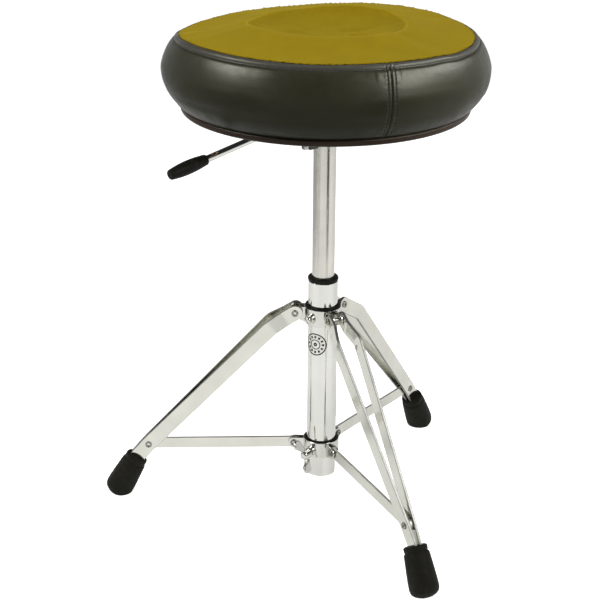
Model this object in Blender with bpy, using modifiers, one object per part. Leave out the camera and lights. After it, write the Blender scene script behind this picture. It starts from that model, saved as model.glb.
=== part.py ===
"""Drum throne: a round dished seat on a gas-lift post, carried by three folding legs.

Metres, +Z up, floor at z = 0. The post stands a little to +X of the origin, so that the
origin is under the middle of the whole object's footprint. Each leg is a pair of bent steel
strips hinged to a fixed bracket on the post; a flat brace ties it to a collar that slides
on the post. The seat turns and lifts on a gas spring inside the post.
"""
import math

import bmesh
import bpy
from mathutils import Matrix, Vector

MM = 0.001
GAP = 0.3 * MM
HUGE = 0.2

# Seat: outline points are (radius, height) on the outside of the covered cushion
SEAT_RADIUS = 175.0 * MM
SEAM_RADIUS = 156.5 * MM
SEAM_HEIGHT = 554.0 * MM
RIM_RADIUS = 155.1 * MM
RIM_BOTTOM = 473.0 * MM
CREASE_HEIGHT = 482.5 * MM
COVER_THICKNESS = 1.3 * MM
BOARD_THICKNESS = 12.0 * MM
PLATE_SIZE = 120.0 * MM
PLATE_THICKNESS = 2.5 * MM
PLATE_SCREW_SPREAD = 48.0 * MM

# Post and gas spring
BASE_TUBE_RADIUS = 16.7 * MM
BASE_TUBE_WALL = 1.5 * MM
BASE_TUBE_BOTTOM = 35.5 * MM
BASE_TUBE_TOP = 274.0 * MM
GAS_TUBE_RADIUS = 12.6 * MM
GAS_TUBE_WALL = 1.4 * MM
GAS_TUBE_BOTTOM = 165.0 * MM
GAS_TUBE_TOP = 453.0 * MM
ROD_RADIUS = 5.0 * MM
HUB_BOTTOM = 436.0 * MM
LUG_BOTTOM = 430.0 * MM
LUG_REACH = 25.5 * MM
HUB_TOP = RIM_BOTTOM - 1.9 * MM

# Release lever, pointing to the back left
LEVER_AZIMUTH = math.radians(224.0)
LEVER_HEIGHT = 459.0 * MM
LEVER_PIVOT_RADIUS = 13.0 * MM
LEVER_BEND_RADIUS = 78.0 * MM
LEVER_TIP_RADIUS = 209.0 * MM
LEVER_SLOPE = math.radians(9.3)
LEVER_ROD_RADIUS = 3.8 * MM
GRIP_LENGTH = 47.0 * MM

# Legs: azimuths and the side view of one leg, as (radius, height) from the post axis
LEG_AZIMUTHS = {"left": math.pi, "front": math.radians(300.0), "right": math.radians(60.0)}
LEG_PIVOT = (30.8 * MM, 236.2 * MM)
LEG_KINK = (58.0 * MM, 218.8 * MM)
LEG_RIVET = (201.0 * MM, 64.4 * MM)
STRIP_HEIGHT = 17.3 * MM
STRIP_THICKNESS = 3.2 * MM
STRIP_OFFSETS = {"pivot": 8.3 * MM, "kink": 13.6 * MM, "rivet": 4.0 * MM, "foot": 2.8 * MM}
FOOT_TOP = (215.4 * MM, 46.8 * MM)
FOOT_SLOPE = math.radians(61.0)
FOOT_RADIUS = 16.2 * MM

# Sliding collar and braces
COLLAR_PIN = (31.5 * MM, 72.0 * MM)
COLLAR_BOTTOM = 61.0 * MM
COLLAR_TOP = 79.5 * MM
BRACE_HEIGHT = 13.2 * MM
BRACE_THICKNESS = 3.0 * MM
BRACE_SHORTENING = 13.0 * MM
BRACKET_BOTTOM = 224.0 * MM
BRACKET_TOP = 243.5 * MM
RING_INNER = BASE_TUBE_RADIUS + 1.8 * MM
RING_OUTER = BASE_TUBE_RADIUS + 3.9 * MM
CLAMP_AZIMUTH = math.radians(233.0)
CLAMP_SCREW_HEIGHT = 233.2 * MM
WING_AZIMUTH = math.radians(240.0)
WING_HEIGHT = 69.2 * MM
WING_TILT = math.radians(28.0)

PIN_RADIUS = 2.5 * MM
PIN_HEAD_RADIUS = 3.9 * MM
PIN_HEAD_THICKNESS = 1.3 * MM

# The foot's outermost point and the seat's edge are equally far from the origin along X
FOOT_REACH = 253.0 * MM
POST_X = (FOOT_REACH - SEAT_RADIUS) / 2.0

FINE = 32
MEDIUM = 20
SMALL = 12
COARSE = 10

FINISHES = {
    "chrome": ((0.80, 0.80, 0.78), 1.0, 0.12),
    "steel": ((0.55, 0.55, 0.54), 1.0, 0.35),
    "black_plastic": ((0.020, 0.020, 0.018), 0.0, 0.45),
    "rubber": ((0.018, 0.018, 0.016), 0.0, 0.75),
    "vinyl": ((0.022, 0.022, 0.018), 0.0, 0.40),
    "velour": ((0.36, 0.29, 0.03), 0.0, 0.95),
    "foam": ((0.75, 0.70, 0.45), 0.0, 0.95),
    "plywood": ((0.45, 0.30, 0.16), 0.0, 0.75),
    "lining": ((0.015, 0.015, 0.015), 0.0, 0.95),
    "black_steel": ((0.03, 0.03, 0.03), 0.6, 0.45),
}


def clear_scene():
    """Remove every object that is already in the file."""
    for obj in list(bpy.data.objects):
        bpy.data.objects.remove(obj, do_unlink=True)


def new_collection(name):
    """Make a collection in the scene."""
    collection = bpy.data.collections.new(name)
    bpy.context.scene.collection.children.link(collection)
    return collection


def new_material(name, finish):
    """Make a sub-part's own material from one of the finishes."""
    colour, metallic, roughness = FINISHES[finish]
    material = bpy.data.materials.new(name)
    material.use_nodes = True
    shader = material.node_tree.nodes["Principled BSDF"]
    shader.inputs["Base Color"].default_value = (*colour, 1.0)
    shader.inputs["Metallic"].default_value = metallic
    shader.inputs["Roughness"].default_value = roughness
    material.diffuse_color = (*colour, 1.0)
    return material


def place(name, data, finish, parent, location=(0.0, 0.0, 0.0), rotation=None):
    """Link an object to the parts, with its own material; finish None makes it a cutter."""
    obj = bpy.data.objects.new(name, data)
    collection = PARTS if finish else CUTTERS
    collection.objects.link(obj)
    obj.parent = parent
    obj.location = location
    if rotation is not None:
        obj.rotation_euler = rotation
    if finish:
        data.materials.append(new_material(name, finish))
    else:
        obj.hide_render = True
        obj.display_type = "WIRE"
    return obj


def add_empty(name, parent, location, rotation_z=0.0):
    """Make an empty that carries a moving piece on its joint's axis."""
    empty = bpy.data.objects.new(name, None)
    empty.empty_display_size = 0.02
    PARTS.objects.link(empty)
    empty.parent = parent
    empty.location = location
    empty.rotation_euler = (0.0, 0.0, rotation_z)
    return empty


def turned(name, profile, finish, parent, location=(0.0, 0.0, 0.0), rotation=None,
           segments=MEDIUM, ring=False):
    """Turn (radius, height) points about Z; the points run down the outer side.

    A solid's profile starts and ends on the axis. A ring's profile is a closed loop.
    """
    mesh = bpy.data.meshes.new(name)
    points = [(radius, 0.0, height) for radius, height in profile]
    edges = [(i, i + 1) for i in range(len(points) - 1)]
    if ring:
        edges.append((len(points) - 1, 0))
    mesh.from_pydata(points, edges, [])
    obj = place(name, mesh, finish, parent, location, rotation)
    screw = obj.modifiers.new("turn", "SCREW")
    screw.steps = segments
    screw.render_steps = segments
    screw.use_merge_vertices = True
    screw.merge_threshold = 0.00001
    screw.use_smooth_shade = True
    return obj


def ring_profile(inner, outer, bottom, top):
    """The square section of a plain ring."""
    return [(outer, top), (outer, bottom), (inner, bottom), (inner, top)]


def rod_profile(radius, bottom, top):
    """The section of a plain rod."""
    return [(0.0, top), (radius, top), (radius, bottom), (0.0, bottom)]


def flat_outline(name, loops, thickness, finish, parent, location=(0.0, 0.0, 0.0), rotation=None):
    """A flat plate from an outline and its holes, as a mesh with welded caps."""
    curve = bpy.data.curves.new(name + "_outline", "CURVE")
    curve.dimensions = "2D"
    curve.fill_mode = "BOTH"
    curve.extrude = thickness / 2.0
    for loop in loops:
        spline = curve.splines.new("POLY")
        spline.points.add(len(loop) - 1)
        for point, (x, y) in zip(spline.points, loop):
            point.co = (x, y, 0.0, 1.0)
        spline.use_cyclic_u = True
    source = bpy.data.objects.new(name + "_outline", curve)
    CUTTERS.objects.link(source)
    bpy.context.view_layer.update()
    evaluated = source.evaluated_get(bpy.context.evaluated_depsgraph_get())
    mesh = bpy.data.meshes.new_from_object(evaluated)
    mesh.name = name
    bpy.data.objects.remove(source, do_unlink=True)
    weld(mesh)
    return place(name, mesh, finish, parent, location, rotation)


def weld(mesh):
    """Join the loose edges of a curve's caps to its sides."""
    cleaner = bmesh.new()
    cleaner.from_mesh(mesh)
    bmesh.ops.remove_doubles(cleaner, verts=cleaner.verts, dist=0.00001)
    bmesh.ops.recalc_face_normals(cleaner, faces=cleaner.faces)
    cleaner.to_mesh(mesh)
    cleaner.free()


def circle(x, y, radius, count=COARSE):
    """Points round a circle."""
    steps = [2.0 * math.pi * i / count for i in range(count)]
    return [(x + radius * math.cos(a), y + radius * math.sin(a)) for a in steps]


def arc(x, y, radius, start, end, count=8):
    """Points along an arc, with angles in degrees."""
    angles = [math.radians(start + (end - start) * i / count) for i in range(count + 1)]
    return [(x + radius * math.cos(a), y + radius * math.sin(a)) for a in angles]


def block(name, low, high, finish, parent, location=(0.0, 0.0, 0.0), rotation=None):
    """A box between two corners."""
    mesh = bpy.data.meshes.new(name)
    shape = bmesh.new()
    bmesh.ops.create_cube(shape, size=1.0)
    size = [high[i] - low[i] for i in range(3)]
    centre = [(high[i] + low[i]) / 2.0 for i in range(3)]
    bmesh.ops.scale(shape, vec=size, verts=shape.verts)
    bmesh.ops.translate(shape, vec=centre, verts=shape.verts)
    shape.to_mesh(mesh)
    shape.free()
    return place(name, mesh, finish, parent, location, rotation)


def combine(obj, other, operation):
    """Add a Boolean with another object, which stays out of the parts."""
    boolean = obj.modifiers.new(other.name, "BOOLEAN")
    boolean.operation = operation
    boolean.solver = "EXACT"
    boolean.object = other


def offset_outline(points, distance):
    """Move an outline that runs top to bottom inwards, to the left of its direction reversed."""
    moved = []
    for i, (radius, height) in enumerate(points):
        before = Vector(points[max(i - 1, 0)])
        after = Vector(points[min(i + 1, len(points) - 1)])
        here = Vector((radius, height))
        first = (here - before).normalized() if i else (after - here).normalized()
        last = (after - here).normalized() if i < len(points) - 1 else first
        along = (first + last).normalized()
        inward = Vector((along.y, -along.x))
        stretch = 1.0 / max(0.5, along.dot(first))
        shifted = here + inward * distance * stretch
        moved.append((shifted.x if radius > 0.0 else 0.0, shifted.y))
    return moved


# ---------------------------------------------------------------- seat

def top_outline():
    """The cushion's top from the middle of the dish, over its ridge, to the seam."""
    return [
        (0.0, 552.0 * MM),
        (30.0 * MM, 553.6 * MM),
        (58.0 * MM, 559.0 * MM),
        (74.0 * MM, 563.4 * MM),
        (84.0 * MM, 565.2 * MM),
        (91.0 * MM, 565.6 * MM),
        (104.0 * MM, 563.0 * MM),
        (122.0 * MM, 559.0 * MM),
        (142.0 * MM, 556.2 * MM),
        (SEAM_RADIUS, SEAM_HEIGHT),
    ]


def side_outline():
    """The bolster from the seam, round its widest line, to the crease and under the board."""
    return [
        (SEAM_RADIUS + 1.0 * MM, SEAM_HEIGHT - 0.8 * MM),
        (162.4 * MM, 549.2 * MM),
        (168.6 * MM, 539.6 * MM),
        (172.8 * MM, 529.6 * MM),
        (SEAT_RADIUS, 519.6 * MM),
        (173.2 * MM, 507.5 * MM),
        (167.6 * MM, 495.5 * MM),
        (159.0 * MM, 486.0 * MM),
        (RIM_RADIUS + 0.3 * MM, CREASE_HEIGHT),
        (RIM_RADIUS, RIM_BOTTOM + 1.2 * MM),
        (RIM_RADIUS - 1.5 * MM, RIM_BOTTOM),
        (141.0 * MM, RIM_BOTTOM),
    ]


def shell(name, outer, finish, parent):
    """A sewn cover: the outline and the same outline one thickness further in."""
    inner = offset_outline(outer, COVER_THICKNESS)
    turned(name, outer + inner[::-1], finish, parent, segments=FINE, ring=outer[0][0] > 0.0)


def build_seat(seat):
    """Board, foam, the two covers and the lining under the board."""
    board_bottom = RIM_BOTTOM + COVER_THICKNESS + GAP
    board_top = board_bottom + BOARD_THICKNESS
    shell("top_panel", top_outline(), "velour", seat)
    shell("side_band", side_outline(), "vinyl", seat)

    board_radius = RIM_RADIUS - COVER_THICKNESS - 1.0 * MM
    board = turned("seat_board", rod_profile(board_radius, board_bottom, board_top), "plywood", seat,
                   segments=FINE)
    whole = top_outline() + side_outline()[:7]
    foam_outline = offset_outline(whole, COVER_THICKNESS + 1.2 * MM)
    foam_bottom = board_top + GAP
    foam_outline = [point for point in foam_outline if point[1] > foam_bottom + 1.0 * MM]
    foam_outline.append((158.0 * MM, foam_bottom))
    foam_outline.append((0.0, foam_bottom))
    turned("seat_foam", foam_outline, "foam", seat, segments=FINE)

    lining_top = board_bottom - GAP
    lining = ring_profile(92.0 * MM, 138.0 * MM, lining_top - 0.8 * MM, lining_top)
    turned("dust_cover", lining, "lining", seat, segments=FINE, ring=True)

    plate_top = board_bottom - GAP
    build_mounting_plate(seat, plate_top, board)


def build_mounting_plate(seat, plate_top, board):
    """Square plate under the board and its four screws, which go up into the board."""
    half = PLATE_SIZE / 2.0
    corner = 12.0 * MM
    outline = []
    for turn, (sx, sy) in enumerate(((1, 1), (-1, 1), (-1, -1), (1, -1))):
        centre = (sx * (half - corner), sy * (half - corner))
        outline += arc(*centre, corner, 90.0 * turn, 90.0 * turn + 90.0, 4)
    spread = PLATE_SCREW_SPREAD
    places = [(spread, spread), (-spread, spread), (-spread, -spread), (spread, -spread)]
    holes = [circle(x, y, 2.8 * MM) for x, y in places]
    middle = plate_top - PLATE_THICKNESS / 2.0
    flat_outline("mounting_plate", [outline] + holes, PLATE_THICKNESS, "black_steel", seat,
                 (0.0, 0.0, middle), (0.0, 0.0, LEVER_AZIMUTH))
    head_top = plate_top - PLATE_THICKNESS - GAP
    shank_top = plate_top + 9.0 * MM
    for number, (x, y) in enumerate(places, 1):
        spot = Matrix.Rotation(LEVER_AZIMUTH, 3, "Z") @ Vector((x, y, 0.0))
        profile = [
            (0.0, shank_top),
            (2.4 * MM, shank_top),
            (2.4 * MM, head_top),
            (5.0 * MM, head_top),
            (4.4 * MM, head_top - 1.6 * MM),
            (2.5 * MM, head_top - 2.4 * MM),
            (0.0, head_top - 2.4 * MM),
        ]
        turned(f"plate_screw_{number}", profile, "steel", seat, spot, segments=COARSE)
        bore = rod_profile(2.8 * MM, plate_top - 1.0 * MM, shank_top + 0.5 * MM)
        cutter = turned(f"plate_screw_bore_{number}", bore, None, seat, spot, segments=COARSE)
        combine(board, cutter, "DIFFERENCE")


def build_hub(seat):
    """Hub that clamps the gas spring's tube and holds the release lever."""
    bore = GAS_TUBE_RADIUS + GAP
    profile = [
        (34.0 * MM, HUB_TOP),
        (34.0 * MM, HUB_TOP - 3.0 * MM),
        (21.0 * MM, HUB_TOP - 5.0 * MM),
        (18.5 * MM, HUB_TOP - 22.0 * MM),
        (17.0 * MM, HUB_BOTTOM + 1.5 * MM),
        (15.8 * MM, HUB_BOTTOM),
        (bore, HUB_BOTTOM),
        (bore, GAS_TUBE_TOP + GAP),
        (8.0 * MM, GAS_TUBE_TOP + GAP),
        (8.0 * MM, HUB_TOP),
    ]
    hub = turned("seat_hub", profile, "black_steel", seat, segments=MEDIUM, ring=True)
    aim = (0.0, 0.0, LEVER_AZIMUTH)
    lug = block("hub_lug", (14.0 * MM, -5.0 * MM, LUG_BOTTOM), (LUG_REACH, 5.0 * MM, LUG_BOTTOM + 19.0 * MM),
                None, seat, rotation=aim)
    combine(hub, lug, "UNION")
    slot_bottom = LEVER_HEIGHT - LEVER_ROD_RADIUS - 1.2 * MM
    slot = block("lever_slot", (5.0 * MM, -4.6 * MM, slot_bottom),
                 (40.0 * MM, 4.6 * MM, LEVER_HEIGHT + 7.0 * MM), None, seat, rotation=aim)
    combine(hub, slot, "DIFFERENCE")
    across = Matrix.Rotation(LEVER_AZIMUTH, 3, "Z") @ Vector((LEVER_PIVOT_RADIUS, 0.0, LEVER_HEIGHT))
    pin_turn = (math.pi / 2.0, 0.0, LEVER_AZIMUTH)
    pin_bore = turned("lever_pin_bore", rod_profile(1.8 * MM, -30.0 * MM, 30.0 * MM), None, seat,
                      across, pin_turn, segments=COARSE)
    combine(hub, pin_bore, "DIFFERENCE")
    turned("lever_pin", rod_profile(1.5 * MM, -12.0 * MM, 12.0 * MM), "steel", seat, across, pin_turn,
           segments=COARSE)
    screw_height = LUG_BOTTOM + 3.5 * MM
    thread = turned("hub_screw_bore", rod_profile(2.3 * MM, 5.0 * MM, 40.0 * MM), None, seat,
                    (0.0, 0.0, screw_height), (0.0, math.pi / 2.0, LEVER_AZIMUTH), segments=COARSE)
    combine(hub, thread, "DIFFERENCE")
    screw = [
        (0.0, LUG_REACH + 5.8 * MM),
        (2.6 * MM, LUG_REACH + 5.8 * MM),
        (3.6 * MM, LUG_REACH + 4.6 * MM),
        (3.6 * MM, LUG_REACH + GAP),
        (2.0 * MM, LUG_REACH + GAP),
        (2.0 * MM, GAS_TUBE_RADIUS + 2.0 * GAP),
        (0.0, GAS_TUBE_RADIUS + 2.0 * GAP),
    ]
    turned("hub_screw", screw, "steel", seat, (0.0, 0.0, screw_height),
           (0.0, math.pi / 2.0, LEVER_AZIMUTH), segments=COARSE)


# ---------------------------------------------------------------- lever

def build_lever(lever):
    """Bent steel rod on its pin, with a tapered grip; the empty sits on the pin's axis."""
    bend_x = LEVER_BEND_RADIUS - LEVER_PIVOT_RADIUS
    rod_end_radius = LEVER_TIP_RADIUS - 12.0 * MM
    reach = rod_end_radius - LEVER_BEND_RADIUS
    drop = math.tan(LEVER_SLOPE)
    route = [
        (-14.0 * MM, 0.0),
        (bend_x - 8.0 * MM, 0.0),
        (bend_x - 2.0 * MM, -0.2 * MM),
        (bend_x + 4.0 * MM, -4.0 * MM * drop),
        (bend_x + reach, -reach * drop),
    ]
    curve = bpy.data.curves.new("lever_rod_route", "CURVE")
    curve.dimensions = "3D"
    curve.bevel_depth = LEVER_ROD_RADIUS
    curve.bevel_resolution = 3
    curve.use_fill_caps = True
    spline = curve.splines.new("POLY")
    spline.points.add(len(route) - 1)
    for point, (x, z) in zip(spline.points, route):
        point.co = (x, 0.0, z, 1.0)
    source = bpy.data.objects.new("lever_rod_route", curve)
    CUTTERS.objects.link(source)
    bpy.context.view_layer.update()
    evaluated = source.evaluated_get(bpy.context.evaluated_depsgraph_get())
    mesh = bpy.data.meshes.new_from_object(evaluated)
    bpy.data.objects.remove(source, do_unlink=True)
    weld(mesh)
    rod = place("lever_rod", mesh, "chrome", lever)
    hole = turned("lever_rod_hole", rod_profile(1.8 * MM, -6.0 * MM, 6.0 * MM), None, lever,
                  rotation=(math.pi / 2.0, 0.0, 0.0), segments=COARSE)
    combine(rod, hole, "DIFFERENCE")

    tip = Vector((LEVER_TIP_RADIUS - LEVER_PIVOT_RADIUS, 0.0, -(LEVER_TIP_RADIUS - LEVER_BEND_RADIUS) * drop))
    bore = LEVER_ROD_RADIUS + GAP
    grip = [
        (0.0, 0.0),
        (3.4 * MM, -0.3 * MM),
        (4.8 * MM, -1.6 * MM),
        (6.1 * MM, -9.0 * MM),
        (7.0 * MM, -0.44 * GRIP_LENGTH),
        (6.4 * MM, -0.70 * GRIP_LENGTH),
        (5.6 * MM, 1.2 * MM - GRIP_LENGTH),
        (5.0 * MM, -GRIP_LENGTH),
        (bore, -GRIP_LENGTH),
        (bore, -11.0 * MM),
        (0.0, -11.0 * MM),
    ]
    turned("lever_grip", grip, "black_plastic", lever, tip, (0.0, math.pi / 2.0 + LEVER_SLOPE, 0.0),
           segments=MEDIUM)


# ---------------------------------------------------------------- post

def build_post(post):
    """Base tube with its top bush and bottom plug, all fixed to the root."""
    inner = BASE_TUBE_RADIUS - BASE_TUBE_WALL
    tube = ring_profile(inner, BASE_TUBE_RADIUS, BASE_TUBE_BOTTOM, BASE_TUBE_TOP)
    turned("base_tube", tube, "chrome", post, segments=MEDIUM, ring=True)
    bore = GAS_TUBE_RADIUS + GAP
    flange = BASE_TUBE_TOP + GAP
    bush = [
        (bore + 0.6 * MM, flange + 5.2 * MM),
        (BASE_TUBE_RADIUS - 1.0 * MM, flange + 5.0 * MM),
        (BASE_TUBE_RADIUS + 0.4 * MM, flange + 2.4 * MM),
        (BASE_TUBE_RADIUS - 0.2 * MM, flange),
        (inner - GAP, flange),
        (inner - GAP, flange - 44.0 * MM),
        (bore, flange - 44.0 * MM),
        (bore, flange + 4.6 * MM),
    ]
    turned("top_bush", bush, "black_plastic", post, segments=MEDIUM, ring=True)
    plug_bottom = BASE_TUBE_BOTTOM + 4.5 * MM
    plug = ring_profile(ROD_RADIUS + 0.4 * MM, inner - GAP, plug_bottom, plug_bottom + 6.0 * MM)
    turned("bottom_plug", plug, "steel", post, segments=MEDIUM, ring=True)
    return plug_bottom


def build_gas_spring(rod, lift, plug_bottom):
    """Piston rod that stands on the plug, and the pressure tube that slides over its piston."""
    plug_top = plug_bottom + 6.0 * MM
    shoulder = plug_top + 4.6 * MM
    rod_top = 232.0 * MM
    piston_top = rod_top + 12.5 * MM
    profile = [
        (0.0, piston_top + 1.0 * MM),
        (3.0 * MM, piston_top + 1.0 * MM),
        (3.0 * MM, rod_top),
        (ROD_RADIUS, rod_top),
        (ROD_RADIUS, shoulder + 3.0 * MM),
        (7.5 * MM, shoulder + 3.0 * MM),
        (7.5 * MM, shoulder),
        (ROD_RADIUS, shoulder),
        (ROD_RADIUS, plug_bottom - GAP),
        (4.0 * MM, plug_bottom - GAP),
        (4.0 * MM, plug_bottom - 3.6 * MM),
        (0.0, plug_bottom - 3.6 * MM),
    ]
    turned("piston_rod", profile, "steel", rod, segments=SMALL)
    clip = ring_profile(4.0 * MM + GAP, 8.0 * MM, plug_bottom - 2.2 * MM, plug_bottom - 2.0 * GAP)
    turned("rod_clip", clip, "steel", rod, segments=SMALL, ring=True)
    bearing = ring_profile(ROD_RADIUS + GAP, 9.5 * MM, plug_top + GAP, shoulder - GAP)
    turned("thrust_bearing", bearing, "steel", rod, segments=SMALL, ring=True)
    inner = GAS_TUBE_RADIUS - GAS_TUBE_WALL
    piston = ring_profile(3.0 * MM + GAP, inner - GAP, rod_top + GAP, piston_top)
    turned("piston", piston, "black_plastic", rod, segments=SMALL, ring=True)

    cap_bottom = GAS_TUBE_TOP - 4.0 * MM
    tube = [
        (GAS_TUBE_RADIUS - 1.0 * MM, GAS_TUBE_TOP),
        (GAS_TUBE_RADIUS, GAS_TUBE_TOP - 1.0 * MM),
        (GAS_TUBE_RADIUS, GAS_TUBE_BOTTOM),
        (inner, GAS_TUBE_BOTTOM),
        (inner, cap_bottom),
        (2.0 * MM, cap_bottom),
        (2.0 * MM, GAS_TUBE_TOP),
    ]
    turned("pressure_tube", tube, "chrome", lift, segments=MEDIUM, ring=True)
    gland = ring_profile(ROD_RADIUS + GAP, inner - GAP, GAS_TUBE_BOTTOM + 1.0 * MM,
                         GAS_TUBE_BOTTOM + 16.0 * MM)
    turned("tube_gland", gland, "black_plastic", lift, segments=SMALL, ring=True)
    valve = ring_profile(2.0 * MM, inner - GAP, cap_bottom - 12.0 * MM, cap_bottom - GAP)
    turned("valve_body", valve, "steel", lift, segments=SMALL, ring=True)


def build_release_pin(release):
    """Valve pin under the lever's inner end."""
    top = LEVER_HEIGHT - LEVER_ROD_RADIUS - 0.5 * MM
    turned("release_pin", rod_profile(1.6 * MM, top - 16.0 * MM, top), "steel", release,
           segments=COARSE)


# ---------------------------------------------------------------- bracket and collar

def ear_outline(reach, height, radius, inner, bottom):
    """Side view of one ear: square at the ring and round about its pin."""
    return [
        (inner, height + radius),
        (inner, bottom),
        (reach, height - radius),
        *arc(reach, height, radius, -75.0, 75.0, 8),
        (reach, height + radius),
    ]


def add_ears(ring, name, pin, radius, offset, thickness, inner, bottom, post):
    """Join three pairs of ears to a bracket ring, one pair for each leg."""
    for side, azimuth in LEG_AZIMUTHS.items():
        outline = ear_outline(pin[0], pin[1], radius, inner, bottom)
        hole = circle(pin[0], pin[1], PIN_RADIUS + GAP)
        for which, sign in (("a", 1.0), ("b", -1.0)):
            spot = Matrix.Rotation(azimuth, 3, "Z") @ Vector((0.0, sign * offset, 0.0))
            ear = flat_outline(f"{name}_ear_{side}_{which}", [outline, hole], thickness, None, post,
                               spot, (math.pi / 2.0, 0.0, azimuth))
            combine(ring, ear, "UNION")


def add_clamp_boss(ring, name, azimuth, height, outer, bore, post):
    """Join a round threaded boss to a ring and bore it through."""
    aim = (0.0, math.pi / 2.0, azimuth)
    spot = (0.0, 0.0, height)
    boss = turned(f"{name}_boss", rod_profile(5.6 * MM, RING_OUTER - 1.0 * MM, outer), None, post, spot, aim,
                  segments=MEDIUM)
    combine(ring, boss, "UNION")
    thread = turned(f"{name}_thread", rod_profile(bore, 14.0 * MM, 40.0 * MM), None, post, spot, aim,
                    segments=MEDIUM)
    combine(ring, thread, "DIFFERENCE")


def sleeve(name, bottom, top, lip, parent):
    """Plastic sleeve between the tube and a bracket ring, with a lip above the ring."""
    inner = BASE_TUBE_RADIUS + GAP
    profile = [
        (inner + 0.4 * MM, top + lip),
        (RING_OUTER - 1.0 * MM, top + lip),
        (RING_OUTER - 0.4 * MM, top + lip / 2.0),
        (RING_OUTER - 0.4 * MM, top + GAP),
        (RING_INNER - GAP, top + GAP),
        (RING_INNER - GAP, bottom),
        (inner, bottom),
        (inner, top + lip - 0.4 * MM),
    ]
    return turned(name, profile, "black_plastic", parent, segments=MEDIUM, ring=True)


def build_bracket(post):
    """Fixed bracket that carries the leg hinges."""
    ring = turned("upper_bracket", ring_profile(RING_INNER, RING_OUTER, BRACKET_BOTTOM, BRACKET_TOP),
                  "chrome", post, segments=MEDIUM, ring=True)
    add_ears(ring, "upper_bracket", LEG_PIVOT, 6.7 * MM, 5.2 * MM, 2.2 * MM, RING_OUTER - 1.3 * MM,
             BRACKET_BOTTOM + 0.5 * MM, post)
    add_clamp_boss(ring, "upper_bracket", CLAMP_AZIMUTH, CLAMP_SCREW_HEIGHT, 24.2 * MM, 2.8 * MM, post)
    insert = sleeve("bracket_sleeve", BRACKET_BOTTOM + 1.0 * MM, BRACKET_TOP, 3.2 * MM, post)
    cut_thread(insert, "bracket_sleeve", CLAMP_AZIMUTH, CLAMP_SCREW_HEIGHT, 2.8 * MM, post)
    screw = [
        (0.0, 28.8 * MM),
        (3.0 * MM, 28.8 * MM),
        (4.2 * MM, 27.6 * MM),
        (4.2 * MM, 24.6 * MM),
        (2.5 * MM, 24.6 * MM),
        (2.5 * MM, BASE_TUBE_RADIUS + GAP),
        (0.0, BASE_TUBE_RADIUS + GAP),
    ]
    turned("clamp_screw", screw, "steel", post, (0.0, 0.0, CLAMP_SCREW_HEIGHT),
           (0.0, math.pi / 2.0, CLAMP_AZIMUTH), segments=MEDIUM)


def cut_thread(obj, name, azimuth, height, bore, parent):
    """Cut the clamp's radial hole through one wall of a sleeve."""
    cutter = turned(f"{name}_hole", rod_profile(bore, 12.0 * MM, 26.0 * MM), None, parent,
                    (0.0, 0.0, height), (0.0, math.pi / 2.0, azimuth), segments=MEDIUM)
    combine(obj, cutter, "DIFFERENCE")


def build_collar(collar):
    """Sliding collar that carries the braces and is locked by a wing bolt."""
    ring = turned("lower_collar", ring_profile(RING_INNER, RING_OUTER, COLLAR_BOTTOM, COLLAR_TOP),
                  "chrome", collar, segments=MEDIUM, ring=True)
    add_ears(ring, "lower_collar", COLLAR_PIN, 6.5 * MM, 3.1 * MM, 2.0 * MM, RING_OUTER - 1.3 * MM,
             COLLAR_BOTTOM + 1.0 * MM, collar)
    add_clamp_boss(ring, "lower_collar", WING_AZIMUTH, WING_HEIGHT, 24.6 * MM, 3.3 * MM, collar)
    insert = sleeve("collar_sleeve", COLLAR_BOTTOM + 1.0 * MM, COLLAR_TOP, 1.4 * MM, collar)
    cut_thread(insert, "collar_sleeve", WING_AZIMUTH, WING_HEIGHT, 3.3 * MM, collar)


def build_wing_bolt(wing):
    """Cast wing bolt; its empty's Z axis points out along the bolt."""
    profile = [
        (0.0, 39.0 * MM),
        (3.5 * MM, 39.0 * MM),
        (5.2 * MM, 36.5 * MM),
        (5.6 * MM, 27.0 * MM),
        (3.0 * MM, 27.0 * MM),
        (3.0 * MM, BASE_TUBE_RADIUS + GAP),
        (0.0, BASE_TUBE_RADIUS + GAP),
    ]
    bolt = turned("wing_bolt", profile, "chrome", wing, segments=MEDIUM)
    outline = [
        (-2.0 * MM, 28.5 * MM),
        (2.0 * MM, 28.5 * MM),
        (9.0 * MM, 31.0 * MM),
        *arc(14.0 * MM, 40.0 * MM, 6.4 * MM, -75.0, 115.0, 8),
        (6.0 * MM, 38.0 * MM),
        (-6.0 * MM, 38.0 * MM),
        *arc(-14.0 * MM, 40.0 * MM, 6.4 * MM, 65.0, 255.0, 8),
        (-9.0 * MM, 31.0 * MM),
    ]
    wings = flat_outline("wing_bolt_wings", [outline], 3.4 * MM, None, wing,
                         rotation=(math.pi / 2.0, 0.0, WING_TILT))
    combine(bolt, wings, "UNION")


# ---------------------------------------------------------------- legs

def strip_corners(side):
    """Corners of a strip's centre line as (radius, offset, height)."""
    offset = {key: side * value for key, value in STRIP_OFFSETS.items()}
    along = Vector((math.cos(FOOT_SLOPE), 0.0, -math.sin(FOOT_SLOPE)))
    foot_top = Vector((FOOT_TOP[0], offset["foot"], FOOT_TOP[1]))
    return [
        Vector((LEG_PIVOT[0], offset["pivot"], LEG_PIVOT[1])),
        Vector((40.5 * MM, offset["pivot"], 230.1 * MM)),
        Vector((LEG_KINK[0], offset["kink"], LEG_KINK[1])),
        Vector((LEG_RIVET[0], offset["rivet"], LEG_RIVET[1])),
        foot_top,
        foot_top + along * 16.0 * MM,
    ]


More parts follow.
